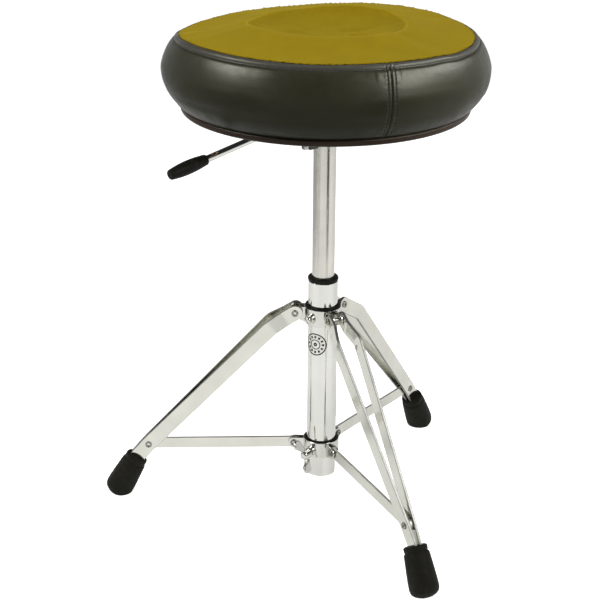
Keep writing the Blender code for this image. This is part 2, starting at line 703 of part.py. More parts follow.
def rounded_route(corners, cut):
    """Replace each inner corner of a route by three points on a short curve."""
    route = [corners[0]]
    for before, here, after in zip(corners, corners[1:], corners[2:]):
        enter = here + (before - here).normalized() * min(cut, (before - here).length * 0.45)
        leave = here + (after - here).normalized() * min(cut, (after - here).length * 0.45)
        route += [enter, (enter + 2.0 * here + leave) / 4.0, leave]
    route.append(corners[-1])
    return route


def build_strip(name, side, leg, pivot):
    """One bent strip, with its round upper end and its two rivet holes."""
    route = rounded_route(strip_corners(side), 7.0 * MM)
    half = STRIP_HEIGHT / 2.0
    start = (route[0] - route[1]).normalized()
    stations = [(route[0] + start * half * math.cos(math.radians(a)), half * math.sin(math.radians(a)))
                for a in (12.0, 32.0, 55.0, 78.0)]
    stations += [(point, half) for point in route[1:]]
    shape = bmesh.new()
    rows = []
    for i, (point, reach) in enumerate(stations):
        before = stations[max(i - 1, 0)][0]
        after = stations[min(i + 1, len(stations) - 1)][0]
        along = Vector((after.x - before.x, 0.0, after.z - before.z)).normalized()
        up = Vector((-along.z, 0.0, along.x))
        high = shape.verts.new(point + up * reach - pivot)
        low = shape.verts.new(point - up * reach - pivot)
        rows.append((high, low))
    for (high, low), (next_high, next_low) in zip(rows, rows[1:]):
        shape.faces.new((high, next_high, next_low, low))
    mesh = bpy.data.meshes.new(name)
    shape.to_mesh(mesh)
    shape.free()
    strip = place(name, mesh, "chrome", leg)
    solidify = strip.modifiers.new("thickness", "SOLIDIFY")
    solidify.thickness = STRIP_THICKNESS
    solidify.offset = 0.0
    for place_name, point in (("pivot", LEG_PIVOT), ("rivet", LEG_RIVET)):
        centre = Vector((point[0], 0.0, point[1])) - pivot
        low, high = sorted((side * 1.0 * MM, side * 20.0 * MM))
        cutter = turned(f"{name}_{place_name}_hole", rod_profile(PIN_RADIUS + GAP, low, high), None, leg,
                        centre, (-math.pi / 2.0, 0.0, 0.0), segments=COARSE)
        combine(strip, cutter, "DIFFERENCE")


def build_foot(name, leg, pivot):
    """Rubber foot pushed over the strips' ends, cut flat where it meets the floor."""
    profile = [
        (0.0, 0.0),
        (11.8 * MM, 0.0),
        (13.0 * MM, -1.2 * MM),
        (13.0 * MM, -5.4 * MM),
        (12.5 * MM, -7.0 * MM),
        (13.5 * MM, -7.8 * MM),
        (14.1 * MM, -9.4 * MM),
        (FOOT_RADIUS, -38.0 * MM),
        (FOOT_RADIUS, -46.0 * MM),
        (14.9 * MM, -50.0 * MM),
        (9.0 * MM, -54.5 * MM),
        (0.0, -56.5 * MM),
    ]
    top = Vector((FOOT_TOP[0], 0.0, FOOT_TOP[1])) - pivot
    tilt = (0.0, FOOT_SLOPE - math.pi / 2.0, 0.0)
    foot = turned(name, profile, "rubber", leg, top, tilt, segments=MEDIUM)
    pocket = block(f"{name}_pocket", (-9.4 * MM, -4.8 * MM, -19.0 * MM), (9.4 * MM, 4.8 * MM, 5.0 * MM),
                   None, leg, top, tilt)
    combine(foot, pocket, "DIFFERENCE")
    floor = block(f"{name}_floor", (-HUGE, -HUGE, -HUGE), (HUGE, HUGE, 0.0), None, leg,
                  Vector((LEG_RIVET[0], 0.0, 0.0)) - pivot)
    combine(foot, floor, "DIFFERENCE")


def pin_profile(half_length, head):
    """A rivet with a low head at both ends."""
    lift = head * 0.45
    return [
        (0.0, half_length + head),
        (PIN_HEAD_RADIUS - 1.0 * MM, half_length + head),
        (PIN_HEAD_RADIUS, half_length + lift),
        (PIN_HEAD_RADIUS, half_length),
        (PIN_RADIUS, half_length),
        (PIN_RADIUS, -half_length),
        (PIN_HEAD_RADIUS, -half_length),
        (PIN_HEAD_RADIUS, -half_length - lift),
        (PIN_HEAD_RADIUS - 1.0 * MM, -half_length - head),
        (0.0, -half_length - head),
    ]


def build_leg(side, azimuth, post):
    """Two strips, their foot, the hinge pin and the rivets at the brace."""
    pivot = Vector((LEG_PIVOT[0], 0.0, LEG_PIVOT[1]))
    turn = Matrix.Rotation(azimuth, 3, "Z")
    leg = add_empty(f"leg_axis_{side}", post, turn @ pivot, azimuth)
    build_strip(f"leg_strip_{side}_a", 1.0, leg, pivot)
    build_strip(f"leg_strip_{side}_b", -1.0, leg, pivot)
    build_foot(f"foot_{side}", leg, pivot)
    upright = (-math.pi / 2.0, 0.0, 0.0)
    reach = STRIP_OFFSETS["pivot"] + STRIP_THICKNESS / 2.0 + GAP
    turned(f"leg_pin_{side}", pin_profile(reach, PIN_HEAD_THICKNESS), "steel", leg, (0.0, 0.0, 0.0),
           upright, segments=COARSE)
    inner = STRIP_OFFSETS["rivet"] - STRIP_THICKNESS / 2.0 + 0.1 * MM
    outer = STRIP_OFFSETS["rivet"] + STRIP_THICKNESS / 2.0 + GAP
    rivet = [
        (0.0, outer + PIN_HEAD_THICKNESS),
        (PIN_HEAD_RADIUS - 1.0 * MM, outer + PIN_HEAD_THICKNESS),
        (PIN_HEAD_RADIUS, outer + 0.5 * MM),
        (PIN_HEAD_RADIUS, outer),
        (PIN_RADIUS, outer),
        (PIN_RADIUS, inner),
        (0.0, inner),
    ]
    spot = Vector((LEG_RIVET[0], 0.0, LEG_RIVET[1])) - pivot
    turned(f"brace_rivet_{side}_a", rivet, "steel", leg, spot, upright, segments=COARSE)
    turned(f"brace_rivet_{side}_b", rivet, "steel", leg, spot, (math.pi / 2.0, 0.0, 0.0),
           segments=COARSE)


def build_brace(side, azimuth, collar):
    """Flat bar from the collar to the leg, a little short of the rivet that it swings on."""
    start = Vector((COLLAR_PIN[0], 0.0, COLLAR_PIN[1]))
    across = Vector((LEG_RIVET[0] - COLLAR_PIN[0], LEG_RIVET[1] - COLLAR_PIN[1]))
    length = across.length - BRACE_SHORTENING
    slope = math.atan2(-across.y, across.x)
    turn = Matrix.Rotation(azimuth, 3, "Z")
    axis = add_empty(f"brace_axis_{side}", collar, turn @ start, azimuth)
    half = BRACE_HEIGHT / 2.0
    outline = [
        *arc(0.0, 0.0, half, 90.0, 270.0, 8),
        *arc(length - 3.0 * MM, 3.0 * MM - half, 3.0 * MM, -90.0, 0.0, 3),
        *arc(length - 3.0 * MM, half - 3.0 * MM, 3.0 * MM, 0.0, 90.0, 3),
    ]
    hole = circle(0.0, 0.0, PIN_RADIUS + GAP)
    brace = flat_outline(f"brace_{side}", [outline, hole], BRACE_THICKNESS, "chrome", axis)
    brace.rotation_mode = "QUATERNION"
    lay = Matrix.Rotation(slope, 4, "Y") @ Matrix.Rotation(math.pi / 2.0, 4, "X")
    brace.rotation_quaternion = lay.to_quaternion()
    turned(f"collar_pin_{side}", pin_profile(4.4 * MM, PIN_HEAD_THICKNESS), "steel", axis,
           (0.0, 0.0, 0.0), (-math.pi / 2.0, 0.0, 0.0), segments=COARSE)


def build_throne():
    """Put every sub-part on its own axis."""
    post = add_empty("post_axis", None, (POST_X, 0.0, 0.0))
    plug_bottom = build_post(post)
    build_bracket(post)
    for side, azimuth in LEG_AZIMUTHS.items():
        build_leg(side, azimuth, post)

    collar = add_empty("collar_axis", post, (0.0, 0.0, 0.0))
    build_collar(collar)
    for side, azimuth in LEG_AZIMUTHS.items():
        build_brace(side, azimuth, collar)
    wing = add_empty("wing_bolt_axis", collar, (0.0, 0.0, WING_HEIGHT))
    wing.rotation_euler = (0.0, math.pi / 2.0, WING_AZIMUTH)
    build_wing_bolt(wing)

    rod = add_empty("swivel_axis", post, (0.0, 0.0, 0.0))
    seat = add_empty("lift_axis", rod, (0.0, 0.0, 0.0))
    build_gas_spring(rod, seat, plug_bottom)
    build_seat(seat)
    build_hub(seat)
    aim = Matrix.Rotation(LEVER_AZIMUTH, 3, "Z")
    pivot = aim @ Vector((LEVER_PIVOT_RADIUS, 0.0, LEVER_HEIGHT))
    lever = add_empty("lever_axis", seat, pivot, LEVER_AZIMUTH)
    build_lever(lever)
    release = add_empty("release_axis", seat, (0.0, 0.0, 0.0))
    build_release_pin(release)


clear_scene()
PARTS = new_collection("drum_throne")
CUTTERS = new_collection("drum_throne_cutters")
build_throne()
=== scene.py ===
"""Looks for the folding drum throne: metal, cushion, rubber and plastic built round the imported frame."""
import math

import bmesh
import bpy
import numpy as np
from mathutils import Matrix, Vector, kdtree
from mathutils import noise as mnoise
from mathutils.bvhtree import BVHTree


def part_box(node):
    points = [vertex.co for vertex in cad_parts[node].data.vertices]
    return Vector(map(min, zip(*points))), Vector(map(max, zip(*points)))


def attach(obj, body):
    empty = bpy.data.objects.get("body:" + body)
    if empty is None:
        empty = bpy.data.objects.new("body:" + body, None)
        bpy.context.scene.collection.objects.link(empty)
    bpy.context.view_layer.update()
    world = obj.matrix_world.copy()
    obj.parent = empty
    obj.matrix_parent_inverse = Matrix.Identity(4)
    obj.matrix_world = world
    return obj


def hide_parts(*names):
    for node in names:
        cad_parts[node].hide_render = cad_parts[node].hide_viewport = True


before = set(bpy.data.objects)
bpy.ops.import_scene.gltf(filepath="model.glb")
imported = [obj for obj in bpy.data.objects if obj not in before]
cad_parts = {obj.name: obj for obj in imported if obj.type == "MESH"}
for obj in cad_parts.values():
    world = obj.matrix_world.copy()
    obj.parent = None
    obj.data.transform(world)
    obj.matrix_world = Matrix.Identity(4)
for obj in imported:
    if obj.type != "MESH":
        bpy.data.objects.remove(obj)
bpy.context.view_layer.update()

MM = 0.001
GAP = 0.3 * MM
TAU = 2.0 * math.pi
tube_low, tube_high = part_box("base_tube")
POST_X = (tube_low[0] + tube_high[0]) / 2.0
POST = Matrix.Translation((POST_X, 0.0, 0.0))

# The CAD part's own measures, in metres from the post axis
SEAM_RADIUS = 156.5 * MM
CREASE_HEIGHT = 482.5 * MM
RIM_BOTTOM = 473.0 * MM
BASE_TUBE_RADIUS = 16.7 * MM
GAS_TUBE_RADIUS = 12.6 * MM
GAS_TUBE_TOP = 453.0 * MM
HUB_TOP = RIM_BOTTOM - 1.9 * MM
HUB_BOTTOM = 436.0 * MM
LUG_BOTTOM = 430.0 * MM
LUG_REACH = 25.5 * MM
LEVER_AZIMUTH = math.radians(224.0)
LEVER_HEIGHT = 459.0 * MM
LEVER_BEND_RADIUS = 78.0 * MM
LEVER_TIP_RADIUS = 209.0 * MM
LEVER_SLOPE = math.radians(9.3)
LEVER_ROD_RADIUS = 3.8 * MM
LEG_AZIMUTHS = {"left": math.pi, "front": math.radians(300.0), "right": math.radians(60.0)}
LEG_PIVOT = (30.8 * MM, 236.2 * MM)
LEG_KINK = (58.0 * MM, 218.8 * MM)
LEG_RIVET = (201.0 * MM, 64.4 * MM)
STRIP_HALF = 8.65 * MM
STRIP_THICKNESS = 3.2 * MM
STRIP_OFFSETS = {"pivot": 8.3 * MM, "kink": 13.6 * MM, "rivet": 4.0 * MM, "foot": 2.8 * MM}
FOOT_TOP = (215.4 * MM, 46.8 * MM)
FOOT_SLOPE = math.radians(61.0)
COLLAR_PIN = (31.5 * MM, 72.0 * MM)
BRACKET_BOTTOM, BRACKET_TOP = 224.0 * MM, 243.5 * MM
COLLAR_BOTTOM, COLLAR_TOP = 61.0 * MM, 79.5 * MM
RING_INNER, RING_OUTER = BASE_TUBE_RADIUS + 1.8 * MM, BASE_TUBE_RADIUS + 3.9 * MM
CLAMP_AZIMUTH = math.radians(233.0)
CLAMP_SCREW_HEIGHT = 233.2 * MM
WING_AZIMUTH = math.radians(240.0)
WING_HEIGHT = 69.2 * MM
WING_TILT = math.radians(28.0)
SIDE_SEAMS = (math.radians(293.8), math.radians(113.8))
SEAM_MARGIN = 4.3 * MM
BOLSTER_RADIUS = 170.0 * MM
STITCH_RADIUS = 162.2 * MM
COVER_THICKNESS = 1.2 * MM
UPRIGHT = Matrix.Rotation(math.pi / 2.0, 4, "X")
DENSE_MESH = 40000


# ---------------------------------------------------------------- materials

class Tree:
    """A node tree under construction."""

    def __init__(self, owner):
        owner.use_nodes = True
        self.tree = owner.node_tree

    def node(self, kind, **inputs):
        """Add a node; keyword values are set on its sockets or linked to them."""
        made = self.tree.nodes.new("ShaderNode" + kind)
        for key, value in inputs.items():
            self.join(value, made.inputs[key.replace("_", " ")])
        return made

    def join(self, value, socket):
        """Link an output to a socket, or set the socket's value."""
        if isinstance(value, bpy.types.NodeSocket):
            self.tree.links.new(value, socket)
        else:
            socket.default_value = value

    def ramp(self, factor, stops):
        """Colours along a factor."""
        made = self.node("ValToRGB", Fac=factor)
        elements = made.color_ramp.elements
        while len(elements) < len(stops):
            elements.new(0.5)
        for element, (position, colour) in zip(elements, stops):
            element.position = position
            element.color = (*colour, 1.0)
        return made.outputs["Color"]


class Paint(Tree):
    """A Principled material under construction, with its texture space on the piece itself."""

    def __init__(self, name, **sockets):
        self.material = bpy.data.materials.new(name)
        super().__init__(self.material)
        self.shader = self.tree.nodes["Principled BSDF"]
        for key, value in sockets.items():
            self.shader.inputs[key.replace("_", " ")].default_value = value
        self.space = self.node("TexCoord").outputs["Object"]

    def stretched(self, scale, turn=(0.0, 0.0, 0.0)):
        """Texture space stretched along the axes."""
        return self.node("Mapping", Vector=self.space, Scale=scale, Rotation=turn).outputs["Vector"]

    def noise(self, scale, detail=3.0, space=None, roughness=0.5):
        """Fractal noise from 0 to 1."""
        return self.node("TexNoise", Vector=space or self.space, Scale=scale, Detail=detail,
                         Roughness=roughness).outputs["Fac"]

    def cells(self, scale, feature="F1"):
        """Distance to the nearest cell centre, or to the nearest border between two cells."""
        made = self.node("TexVoronoi", Vector=self.space, Scale=scale)
        made.feature = feature
        return made.outputs["Distance"]

    def spread(self, value, low, high, to_low, to_high):
        """Map a range of a value onto another range, clamped."""
        return self.node("MapRange", Value=value, From_Min=low, From_Max=high, To_Min=to_low,
                         To_Max=to_high).outputs["Result"]

    def mix(self, factor, first, second):
        """Mix two colours."""
        made = self.tree.nodes.new("ShaderNodeMix")
        made.data_type = "RGBA"
        for value, index in ((factor, 0), (first, 6), (second, 7)):
            if isinstance(value, tuple):
                value = (*value, 1.0)
            self.join(value, made.inputs[index])
        return made.outputs[2]

    def sums(self, first, second, operation="ADD"):
        """Combine two numbers."""
        made = self.tree.nodes.new("ShaderNodeMath")
        made.operation = operation
        self.join(first, made.inputs[0])
        self.join(second, made.inputs[1])
        return made.outputs[0]

    def height(self):
        """The height of the point on the piece, in metres."""
        return self.node("SeparateXYZ", Vector=self.space).outputs["Z"]

    def radius(self):
        """The distance of the point from the post axis, in metres."""
        flat = self.node("Mapping", Vector=self.space, Location=(-POST_X, 0.0, 0.0), Scale=(1.0, 1.0, 0.0))
        length = self.node("VectorMath", Vector=flat.outputs["Vector"])
        length.operation = "LENGTH"
        return length.outputs["Value"]

    def bump(self, height, strength, distance, under=None):
        """Bump from a height, on top of another bump."""
        made = self.node("Bump", Height=height, Strength=strength, Distance=distance)
        if under is not None:
            self.join(under, made.inputs["Normal"])
        return made.outputs["Normal"]

    def done(self, colour, roughness, normal=None):
        """Feed the shader and return the material."""
        self.join(colour, self.shader.inputs["Base Color"])
        self.join(roughness, self.shader.inputs["Roughness"])
        if normal is not None:
            self.join(normal, self.shader.inputs["Normal"])
        return self.material


def chrome_paint(name, light, dark, smooth, rough, stretch=(1.0, 1.0, 1.0)):
    """Plated metal: faint clouding, hairline scratches and finger smudges."""
    paint = Paint(name, Metallic=1.0)
    clouds = paint.noise(34.0, 4.0)
    colour = paint.ramp(clouds, ((0.25, dark), (0.75, light)))
    hair = paint.noise(900.0, 2.0, paint.stretched(stretch))
    smudge = paint.spread(paint.noise(75.0, 5.0), 0.45, 0.75, 0.0, 0.05)
    gloss = paint.sums(paint.spread(hair, 0.3, 0.7, smooth, rough), smudge)
    waves = paint.bump(paint.noise(45.0, 1.0), 0.10, 0.00012)
    return paint.done(colour, gloss, paint.bump(hair, 0.06, 0.00003, waves))


def moulded_paint(name, base, worn, roughness, grain, depth, specular=0.30):
    """Moulded rubber or plastic: a fine pebble, and dull scuffs and a little dust in paler patches."""
    paint = Paint(name, Specular_IOR_Level=specular)
    scuffs = paint.spread(paint.noise(90.0, 6.0, roughness=0.65), 0.5, 0.78, 0.0, 1.0)
    tone = paint.ramp(paint.noise(28.0, 3.0), ((0.3, base), (0.8, tuple(c * 1.35 for c in base))))
    colour = paint.mix(scuffs, tone, worn)
    gloss = paint.spread(paint.noise(140.0, 4.0), 0.3, 0.75, roughness - 0.07, roughness + 0.10)
    return paint.done(colour, gloss, paint.bump(paint.cells(grain), depth, 0.0002))


def vinyl_paint():
    """Black upholstery vinyl with a leather grain, browner round the board's edge, and with a painted
    highlight that makes the upward-facing welt paler.
    """
    paint = Paint("vinyl", Specular_IOR_Level=0.135, Specular_Tint=(1.0, 1.0, 0.84, 1.0))
    pebbles = paint.cells(780.0)
    creases = paint.cells(430.0, "DISTANCE_TO_EDGE")
    tone = paint.ramp(paint.noise(16.0, 4.0),
                      ((0.3, (0.0074, 0.0074, 0.0036)), (0.75, (0.0104, 0.0104, 0.0054))))
    pits = paint.spread(creases, 0.0, 0.10, 0.55, 1.0)
    grained = paint.mix(paint.spread(pits, 0.55, 1.0, 0.35, 0.0), tone, (0.005, 0.005, 0.004))
    rim = paint.spread(paint.height(), CREASE_HEIGHT - 4.0 * MM, CREASE_HEIGHT - 2.2 * MM, 1.0, 0.0)
    colour = paint.mix(rim, grained, (0.013, 0.0072, 0.0050))
    # Painted highlight: the upward-facing welt on top of the bolster is painted paler, standing in for the
    # light it catches from above.
    upper = paint.spread(paint.height(), 530.0 * MM, 536.0 * MM, 0.0, 0.85)
    welt = paint.sums(upper, paint.spread(paint.radius(), 161.0 * MM, 161.8 * MM, 1.0, 0.0), "MULTIPLY")
    colour = paint.mix(welt, colour, (0.021, 0.020, 0.017))
    wander = paint.sums(paint.noise(160.0, 2.0), paint.noise(22.0, 3.0))
    gloss = paint.spread(wander, 0.7, 1.4, 0.32, 0.45)
    grain = paint.bump(pebbles, 0.16, 0.00015, paint.bump(creases, 0.28, 0.00022))
    return paint.done(colour, gloss, paint.bump(paint.noise(60.0, 3.0), 0.10, 0.0006, grain))


def velour_paint():
    """Gold velour: soft pile and nap brushed in patches, with painted shade in the hollow of the top and a
    painted highlight along the hollow's lip.
    """
    paint = Paint("velour", Sheen_Weight=0.26, Sheen_Roughness=0.45, Sheen_Tint=(0.85, 0.68, 0.06, 1.0),
                  Specular_IOR_Level=0.06)
    nap = paint.noise(26.0, 4.0, roughness=0.6)
    brushed = paint.noise(70.0, 3.0, paint.stretched((1.0, 3.2, 1.0), (0.0, 0.0, 0.6)))
    patches = paint.sums(paint.sums(nap, 0.65, "MULTIPLY"), paint.sums(brushed, 0.35, "MULTIPLY"))
    base = paint.ramp(patches, ((0.32, (0.222, 0.153, 0.0036)), (0.52, (0.240, 0.166, 0.0040)),
                                (0.70, (0.262, 0.182, 0.0046))))
    fibre = paint.noise(2600.0, 2.0)
    colour = paint.mix(paint.spread(fibre, 0.35, 0.65, 0.28, 0.0), base, (0.140, 0.093, 0.0024))
    radius = paint.radius()
    # Painted shade: the hollow in the middle of the top is darkened.
    dish_painted_shade = paint.spread(radius, 78.0 * MM, 86.0 * MM, 0.08, 0.0)
    colour = paint.mix(dish_painted_shade, colour, (0.12, 0.080, 0.002))
    # Painted highlight: a thin paler ring along the lip of the hollow, 82 to 87.5 mm from the post.
    crest_painted_highlight = paint.sums(paint.spread(radius, 82.0 * MM, 84.0 * MM, 0.0, 0.5),
                       paint.spread(radius, 85.0 * MM, 87.5 * MM, 1.0, 0.0), "MULTIPLY")
    colour = paint.mix(paint.sums(crest_painted_highlight, nap, "MULTIPLY"), colour, (0.44, 0.31, 0.02))
    gloss = paint.spread(patches, 0.3, 0.7, 0.86, 0.98)
    pile = paint.bump(fibre, 0.50, 0.00035)
    return paint.done(colour, gloss, paint.bump(paint.noise(420.0, 3.0), 0.25, 0.0004, pile))


def thread_paint(name, base, light):
    """Twisted sewing thread."""
    paint = Paint(name, Sheen_Weight=0.2)
    twist = paint.node("TexWave", Vector=paint.space, Scale=900.0, Distortion=2.0).outputs["Fac"]
    colour = paint.ramp(twist, ((0.2, base), (0.8, light)))
    return paint.done(colour, paint.spread(twist, 0.0, 1.0, 0.55, 0.75), paint.bump(twist, 0.5, 0.0001))


def painted_steel_paint():
    """Black enamel on steel with orange peel and chips of bare metal."""
    paint = Paint("black_enamel", Specular_IOR_Level=0.5)
    chips = paint.spread(paint.noise(210.0, 5.0, roughness=0.7), 0.70, 0.73, 0.0, 1.0)
    tone = paint.ramp(paint.noise(40.0), ((0.3, (0.018, 0.018, 0.018)), (0.8, (0.030, 0.030, 0.029))))
    colour = paint.mix(chips, tone, (0.30, 0.30, 0.29))
    paint.join(paint.sums(chips, 0.9, "MULTIPLY"), paint.shader.inputs["Metallic"])
    peel = paint.bump(paint.noise(650.0, 2.0), 0.18, 0.0002)
    return paint.done(colour, paint.spread(paint.noise(120.0), 0.3, 0.7, 0.34, 0.50), peel)


def zinc_paint(name="zinc_steel", light=(0.62, 0.62, 0.60), dark=(0.42, 0.42, 0.40)):
    """Zinc plated steel with a spangled, slightly dull finish."""
    paint = Paint(name, Metallic=1.0)
    spangle = paint.node("TexVoronoi", Vector=paint.space, Scale=900.0).outputs["Color"]
    grey = paint.node("RGBToBW", Color=spangle).outputs["Val"]
    colour = paint.ramp(paint.sums(grey, paint.noise(90.0, 4.0), "MULTIPLY"), ((0.1, dark), (0.5, light)))
    return paint.done(colour, paint.spread(grey, 0.0, 1.0, 0.20, 0.38),
                      paint.bump(paint.noise(1500.0), 0.10, 0.00005))


def plywood_paint():
    """Rotary-cut birch face with its plies showing on the edge."""
    paint = Paint("plywood", Specular_IOR_Level=0.3)
    figure = paint.node("TexWave", Vector=paint.stretched((1.0, 6.0, 1.0)), Scale=12.0, Distortion=7.0,
                        Detail=4.0).outputs["Fac"]
    face = paint.ramp(figure, ((0.1, (0.40, 0.26, 0.13)), (0.6, (0.56, 0.39, 0.21)),
                               (0.95, (0.62, 0.45, 0.27))))
    plies = paint.node("TexWave", Vector=paint.space, Scale=95.0)
    plies.bands_direction = "Z"
    colour = paint.mix(paint.spread(plies.outputs["Fac"], 0.45, 0.6, 0.0, 0.35), face, (0.24, 0.14, 0.06))
    fibres = paint.noise(800.0, 3.0, paint.stretched((0.06, 1.0, 1.0)))
    return paint.done(colour, paint.spread(fibres, 0.3, 0.7, 0.62, 0.80), paint.bump(fibres, 0.35, 0.0003))


def lining_paint():
    """Non-woven dust cover with pressed dimples and loose fibres."""
    paint = Paint("lining", Specular_IOR_Level=0.2)
    dimples = paint.cells(520.0)
    fibres = paint.noise(1400.0, 4.0, paint.stretched((1.0, 0.25, 1.0)))
    colour = paint.ramp(paint.sums(dimples, fibres, "MULTIPLY"),
                        ((0.1, (0.012, 0.012, 0.012)), (0.4, (0.034, 0.033, 0.032))))
    return paint.done(colour, paint.spread(fibres, 0.3, 0.7, 0.85, 0.97), paint.bump(dimples, 0.6, 0.0003))


def foam_paint():
    """Open-cell foam."""
    paint = Paint("foam", Specular_IOR_Level=0.15)
    pores = paint.cells(700.0)
    colour = paint.ramp(pores, ((0.1, (0.45, 0.38, 0.20)), (0.6, (0.78, 0.70, 0.46))))
    return paint.done(colour, paint.spread(pores, 0.0, 0.8, 0.98, 0.85), paint.bump(pores, 0.7, 0.0005))


def floor_paint():
    """Matt white studio floor that stays white right up to the feet."""
    paint = Paint("studio_floor", Specular_IOR_Level=0.0, Emission_Color=(1.0, 1.0, 0.985, 1.0))
    soft = paint.noise(3.0, 2.0)
    seen = paint.node("LightPath").outputs["Is Camera Ray"]
    paint.join(paint.spread(seen, 0.0, 1.0, 0.20, 0.80), paint.shader.inputs["Emission Strength"])
    colour = paint.ramp(soft, ((0.3, (0.86, 0.86, 0.85)), (0.7, (0.90, 0.90, 0.89))))
    return paint.done(colour, paint.spread(soft, 0.3, 0.7, 0.90, 0.97))


CHROME = chrome_paint("chrome", (0.74, 0.74, 0.705), (0.68, 0.68, 0.645), 0.03, 0.07, (1.0, 1.0, 0.06))
BAR_CHROME = chrome_paint("bar_chrome", (0.72, 0.72, 0.66), (0.63, 0.63, 0.575), 0.06, 0.13,
                          (0.25, 0.25, 1.0))
# Darker copies of the strip chrome: painted shade on the strips' edges and on the rounded breaks beside
# them.
STRIP_EDGE_PAINTED_SHADE = chrome_paint("strip_edge_painted_shade", (0.34, 0.34, 0.32), (0.26, 0.26, 0.245), 0.34, 0.46)
STRIP_BREAK_PAINTED_SHADE = chrome_paint("strip_break_painted_shade", (0.10, 0.10, 0.09), (0.04, 0.04, 0.035), 0.24, 0.38)
# A paler copy of the bar chrome: painted highlight on the brace's edges.
BRACE_EDGE_PAINTED_HIGHLIGHT = chrome_paint("brace_edge_painted_highlight", (0.86, 0.86, 0.81), (0.78, 0.78, 0.73), 0.48, 0.62)
SATIN_CHROME = chrome_paint("satin_chrome", (0.70, 0.69, 0.635), (0.60, 0.59, 0.545), 0.17, 0.27,
                            (1.0, 1.0, 0.02))
CAST_CHROME = chrome_paint("cast_chrome", (0.70, 0.70, 0.66), (0.58, 0.58, 0.545), 0.08, 0.16)
ZINC = zinc_paint()
RIVET = zinc_paint("rivet_steel", (0.46, 0.45, 0.42), (0.22, 0.21, 0.18))
ENAMEL = painted_steel_paint()
BLACK_PLASTIC = moulded_paint("black_plastic", (0.0075, 0.0073, 0.0052), (0.020, 0.019, 0.015), 0.42, 1900.0,
                              0.10, 0.08)
RUBBER = moulded_paint("rubber", (0.0078, 0.0075, 0.0048), (0.018, 0.017, 0.012), 0.58, 1300.0, 0.22, 0.11)
NYLON = moulded_paint("white_nylon", (0.62, 0.62, 0.58), (0.74, 0.74, 0.70), 0.42, 1500.0, 0.10)
VINYL = vinyl_paint()
VELOUR = velour_paint()
THREAD = thread_paint("black_thread", (0.006, 0.006, 0.006), (0.020, 0.019, 0.017))
PLYWOOD = plywood_paint()
LINING = lining_paint()
FOAM = foam_paint()
INK = moulded_paint("badge_ink", (0.012, 0.012, 0.012), (0.05, 0.05, 0.05), 0.36, 2500.0, 0.05)


# ---------------------------------------------------------------- mesh helpers

def shade(mesh, angle=32.0):
    """Smooth faces, with sharp edges where two faces meet at more than an angle."""
    shape = bmesh.new()
    shape.from_mesh(mesh)
    limit = math.radians(angle)
    for face in shape.faces:
        face.smooth = True
    for edge in shape.edges:
        edge.smooth = len(edge.link_faces) == 2 and edge.calc_face_angle(0.0) < limit
    shape.to_mesh(mesh)
    shape.free()


def show(name, data):
    """A new object at the origin that carries a mesh or a curve."""
    obj = bpy.data.objects.new(name, data)
    bpy.context.scene.collection.objects.link(obj)
    return obj


def make(name, verts, faces, angle=32.0):
    """A loose mesh object from vertices and faces, with outward normals."""
    mesh = bpy.data.meshes.new(name)
    mesh.from_pydata([tuple(v) for v in verts], [], faces)
    outward(mesh)
    shade(mesh, angle)
    return show(name, mesh)


def outward(mesh, merge=0.0):
    """Turn all normals outwards, after merging the points that lie this close together."""
    shape = bmesh.new()
    shape.from_mesh(mesh)
    if merge:
        bmesh.ops.remove_doubles(shape, verts=shape.verts, dist=merge)
    bmesh.ops.recalc_face_normals(shape, faces=shape.faces)
    shape.to_mesh(mesh)
    shape.free()


def loft(rings, closed=False, capped=False):
    """Vertices and faces of a skin over rings of points; a ring of one point is a pole."""
    verts, rows, faces = [], [], []
    for ring in rings:
        rows.append(range(len(verts), len(verts) + len(ring)))
        verts += ring
    for first, second in zip(rows, rows[1:] + (rows[:1] if closed else [])):
        count = max(len(first), len(second))
        for i in range(count):
            j = (i + 1) % count
            quad = dict.fromkeys((first[i % len(first)], first[j % len(first)], second[j % len(second)],
                                  second[i % len(second)]))
            if len(quad) > 2:
                faces.append(list(quad))
    if capped:
        faces += [tuple(rows[0]), tuple(rows[-1])]
    return verts, faces


def gather(lofts):
    """The vertices and faces of several lofts as one mesh's."""
    verts, faces = [], []
    for more_verts, more_faces in lofts:
        faces += [[corner + len(verts) for corner in face] for face in more_faces]
        verts += more_verts
    return verts, faces


def mm(points, rise=0.0):
    """Pairs in millimetres turned into metres, the second lifted by a height in metres."""
    return [(x * MM, rise + y * MM) for x, y in points]


def lay(obj, matrix):
    """Put an object's mesh where the matrix says and keep the object itself at the origin."""
    obj.data.transform(matrix)
    obj.data.update()
    return obj


def even_normals(obj):
    """Let every large face keep its own normals, so that reflections in flats and tubes run true."""
    obj.modifiers.new("normals", "WEIGHTED_NORMAL").keep_sharp = True
    apply_modifiers(obj)


def piece(obj, body, material, slot, *nodes):
    """Finish a piece: material, body and the CAD nodes that it stands for; the slot argument is not used."""
    if len(obj.data.polygons) < DENSE_MESH:
        even_normals(obj)
    obj.data.materials.clear()
    obj.data.materials.append(material)
    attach(obj, body)
    if nodes:
        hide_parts(*nodes)
    return obj


def join(name, objects):
    """Put several loose meshes together in one object."""
    merged = bmesh.new()
    for obj in objects:
        merged.from_mesh(obj.data)
        bpy.data.objects.remove(obj, do_unlink=True)
    mesh = bpy.data.meshes.new(name)
    merged.to_mesh(mesh)
    merged.free()
    return show(name, mesh)


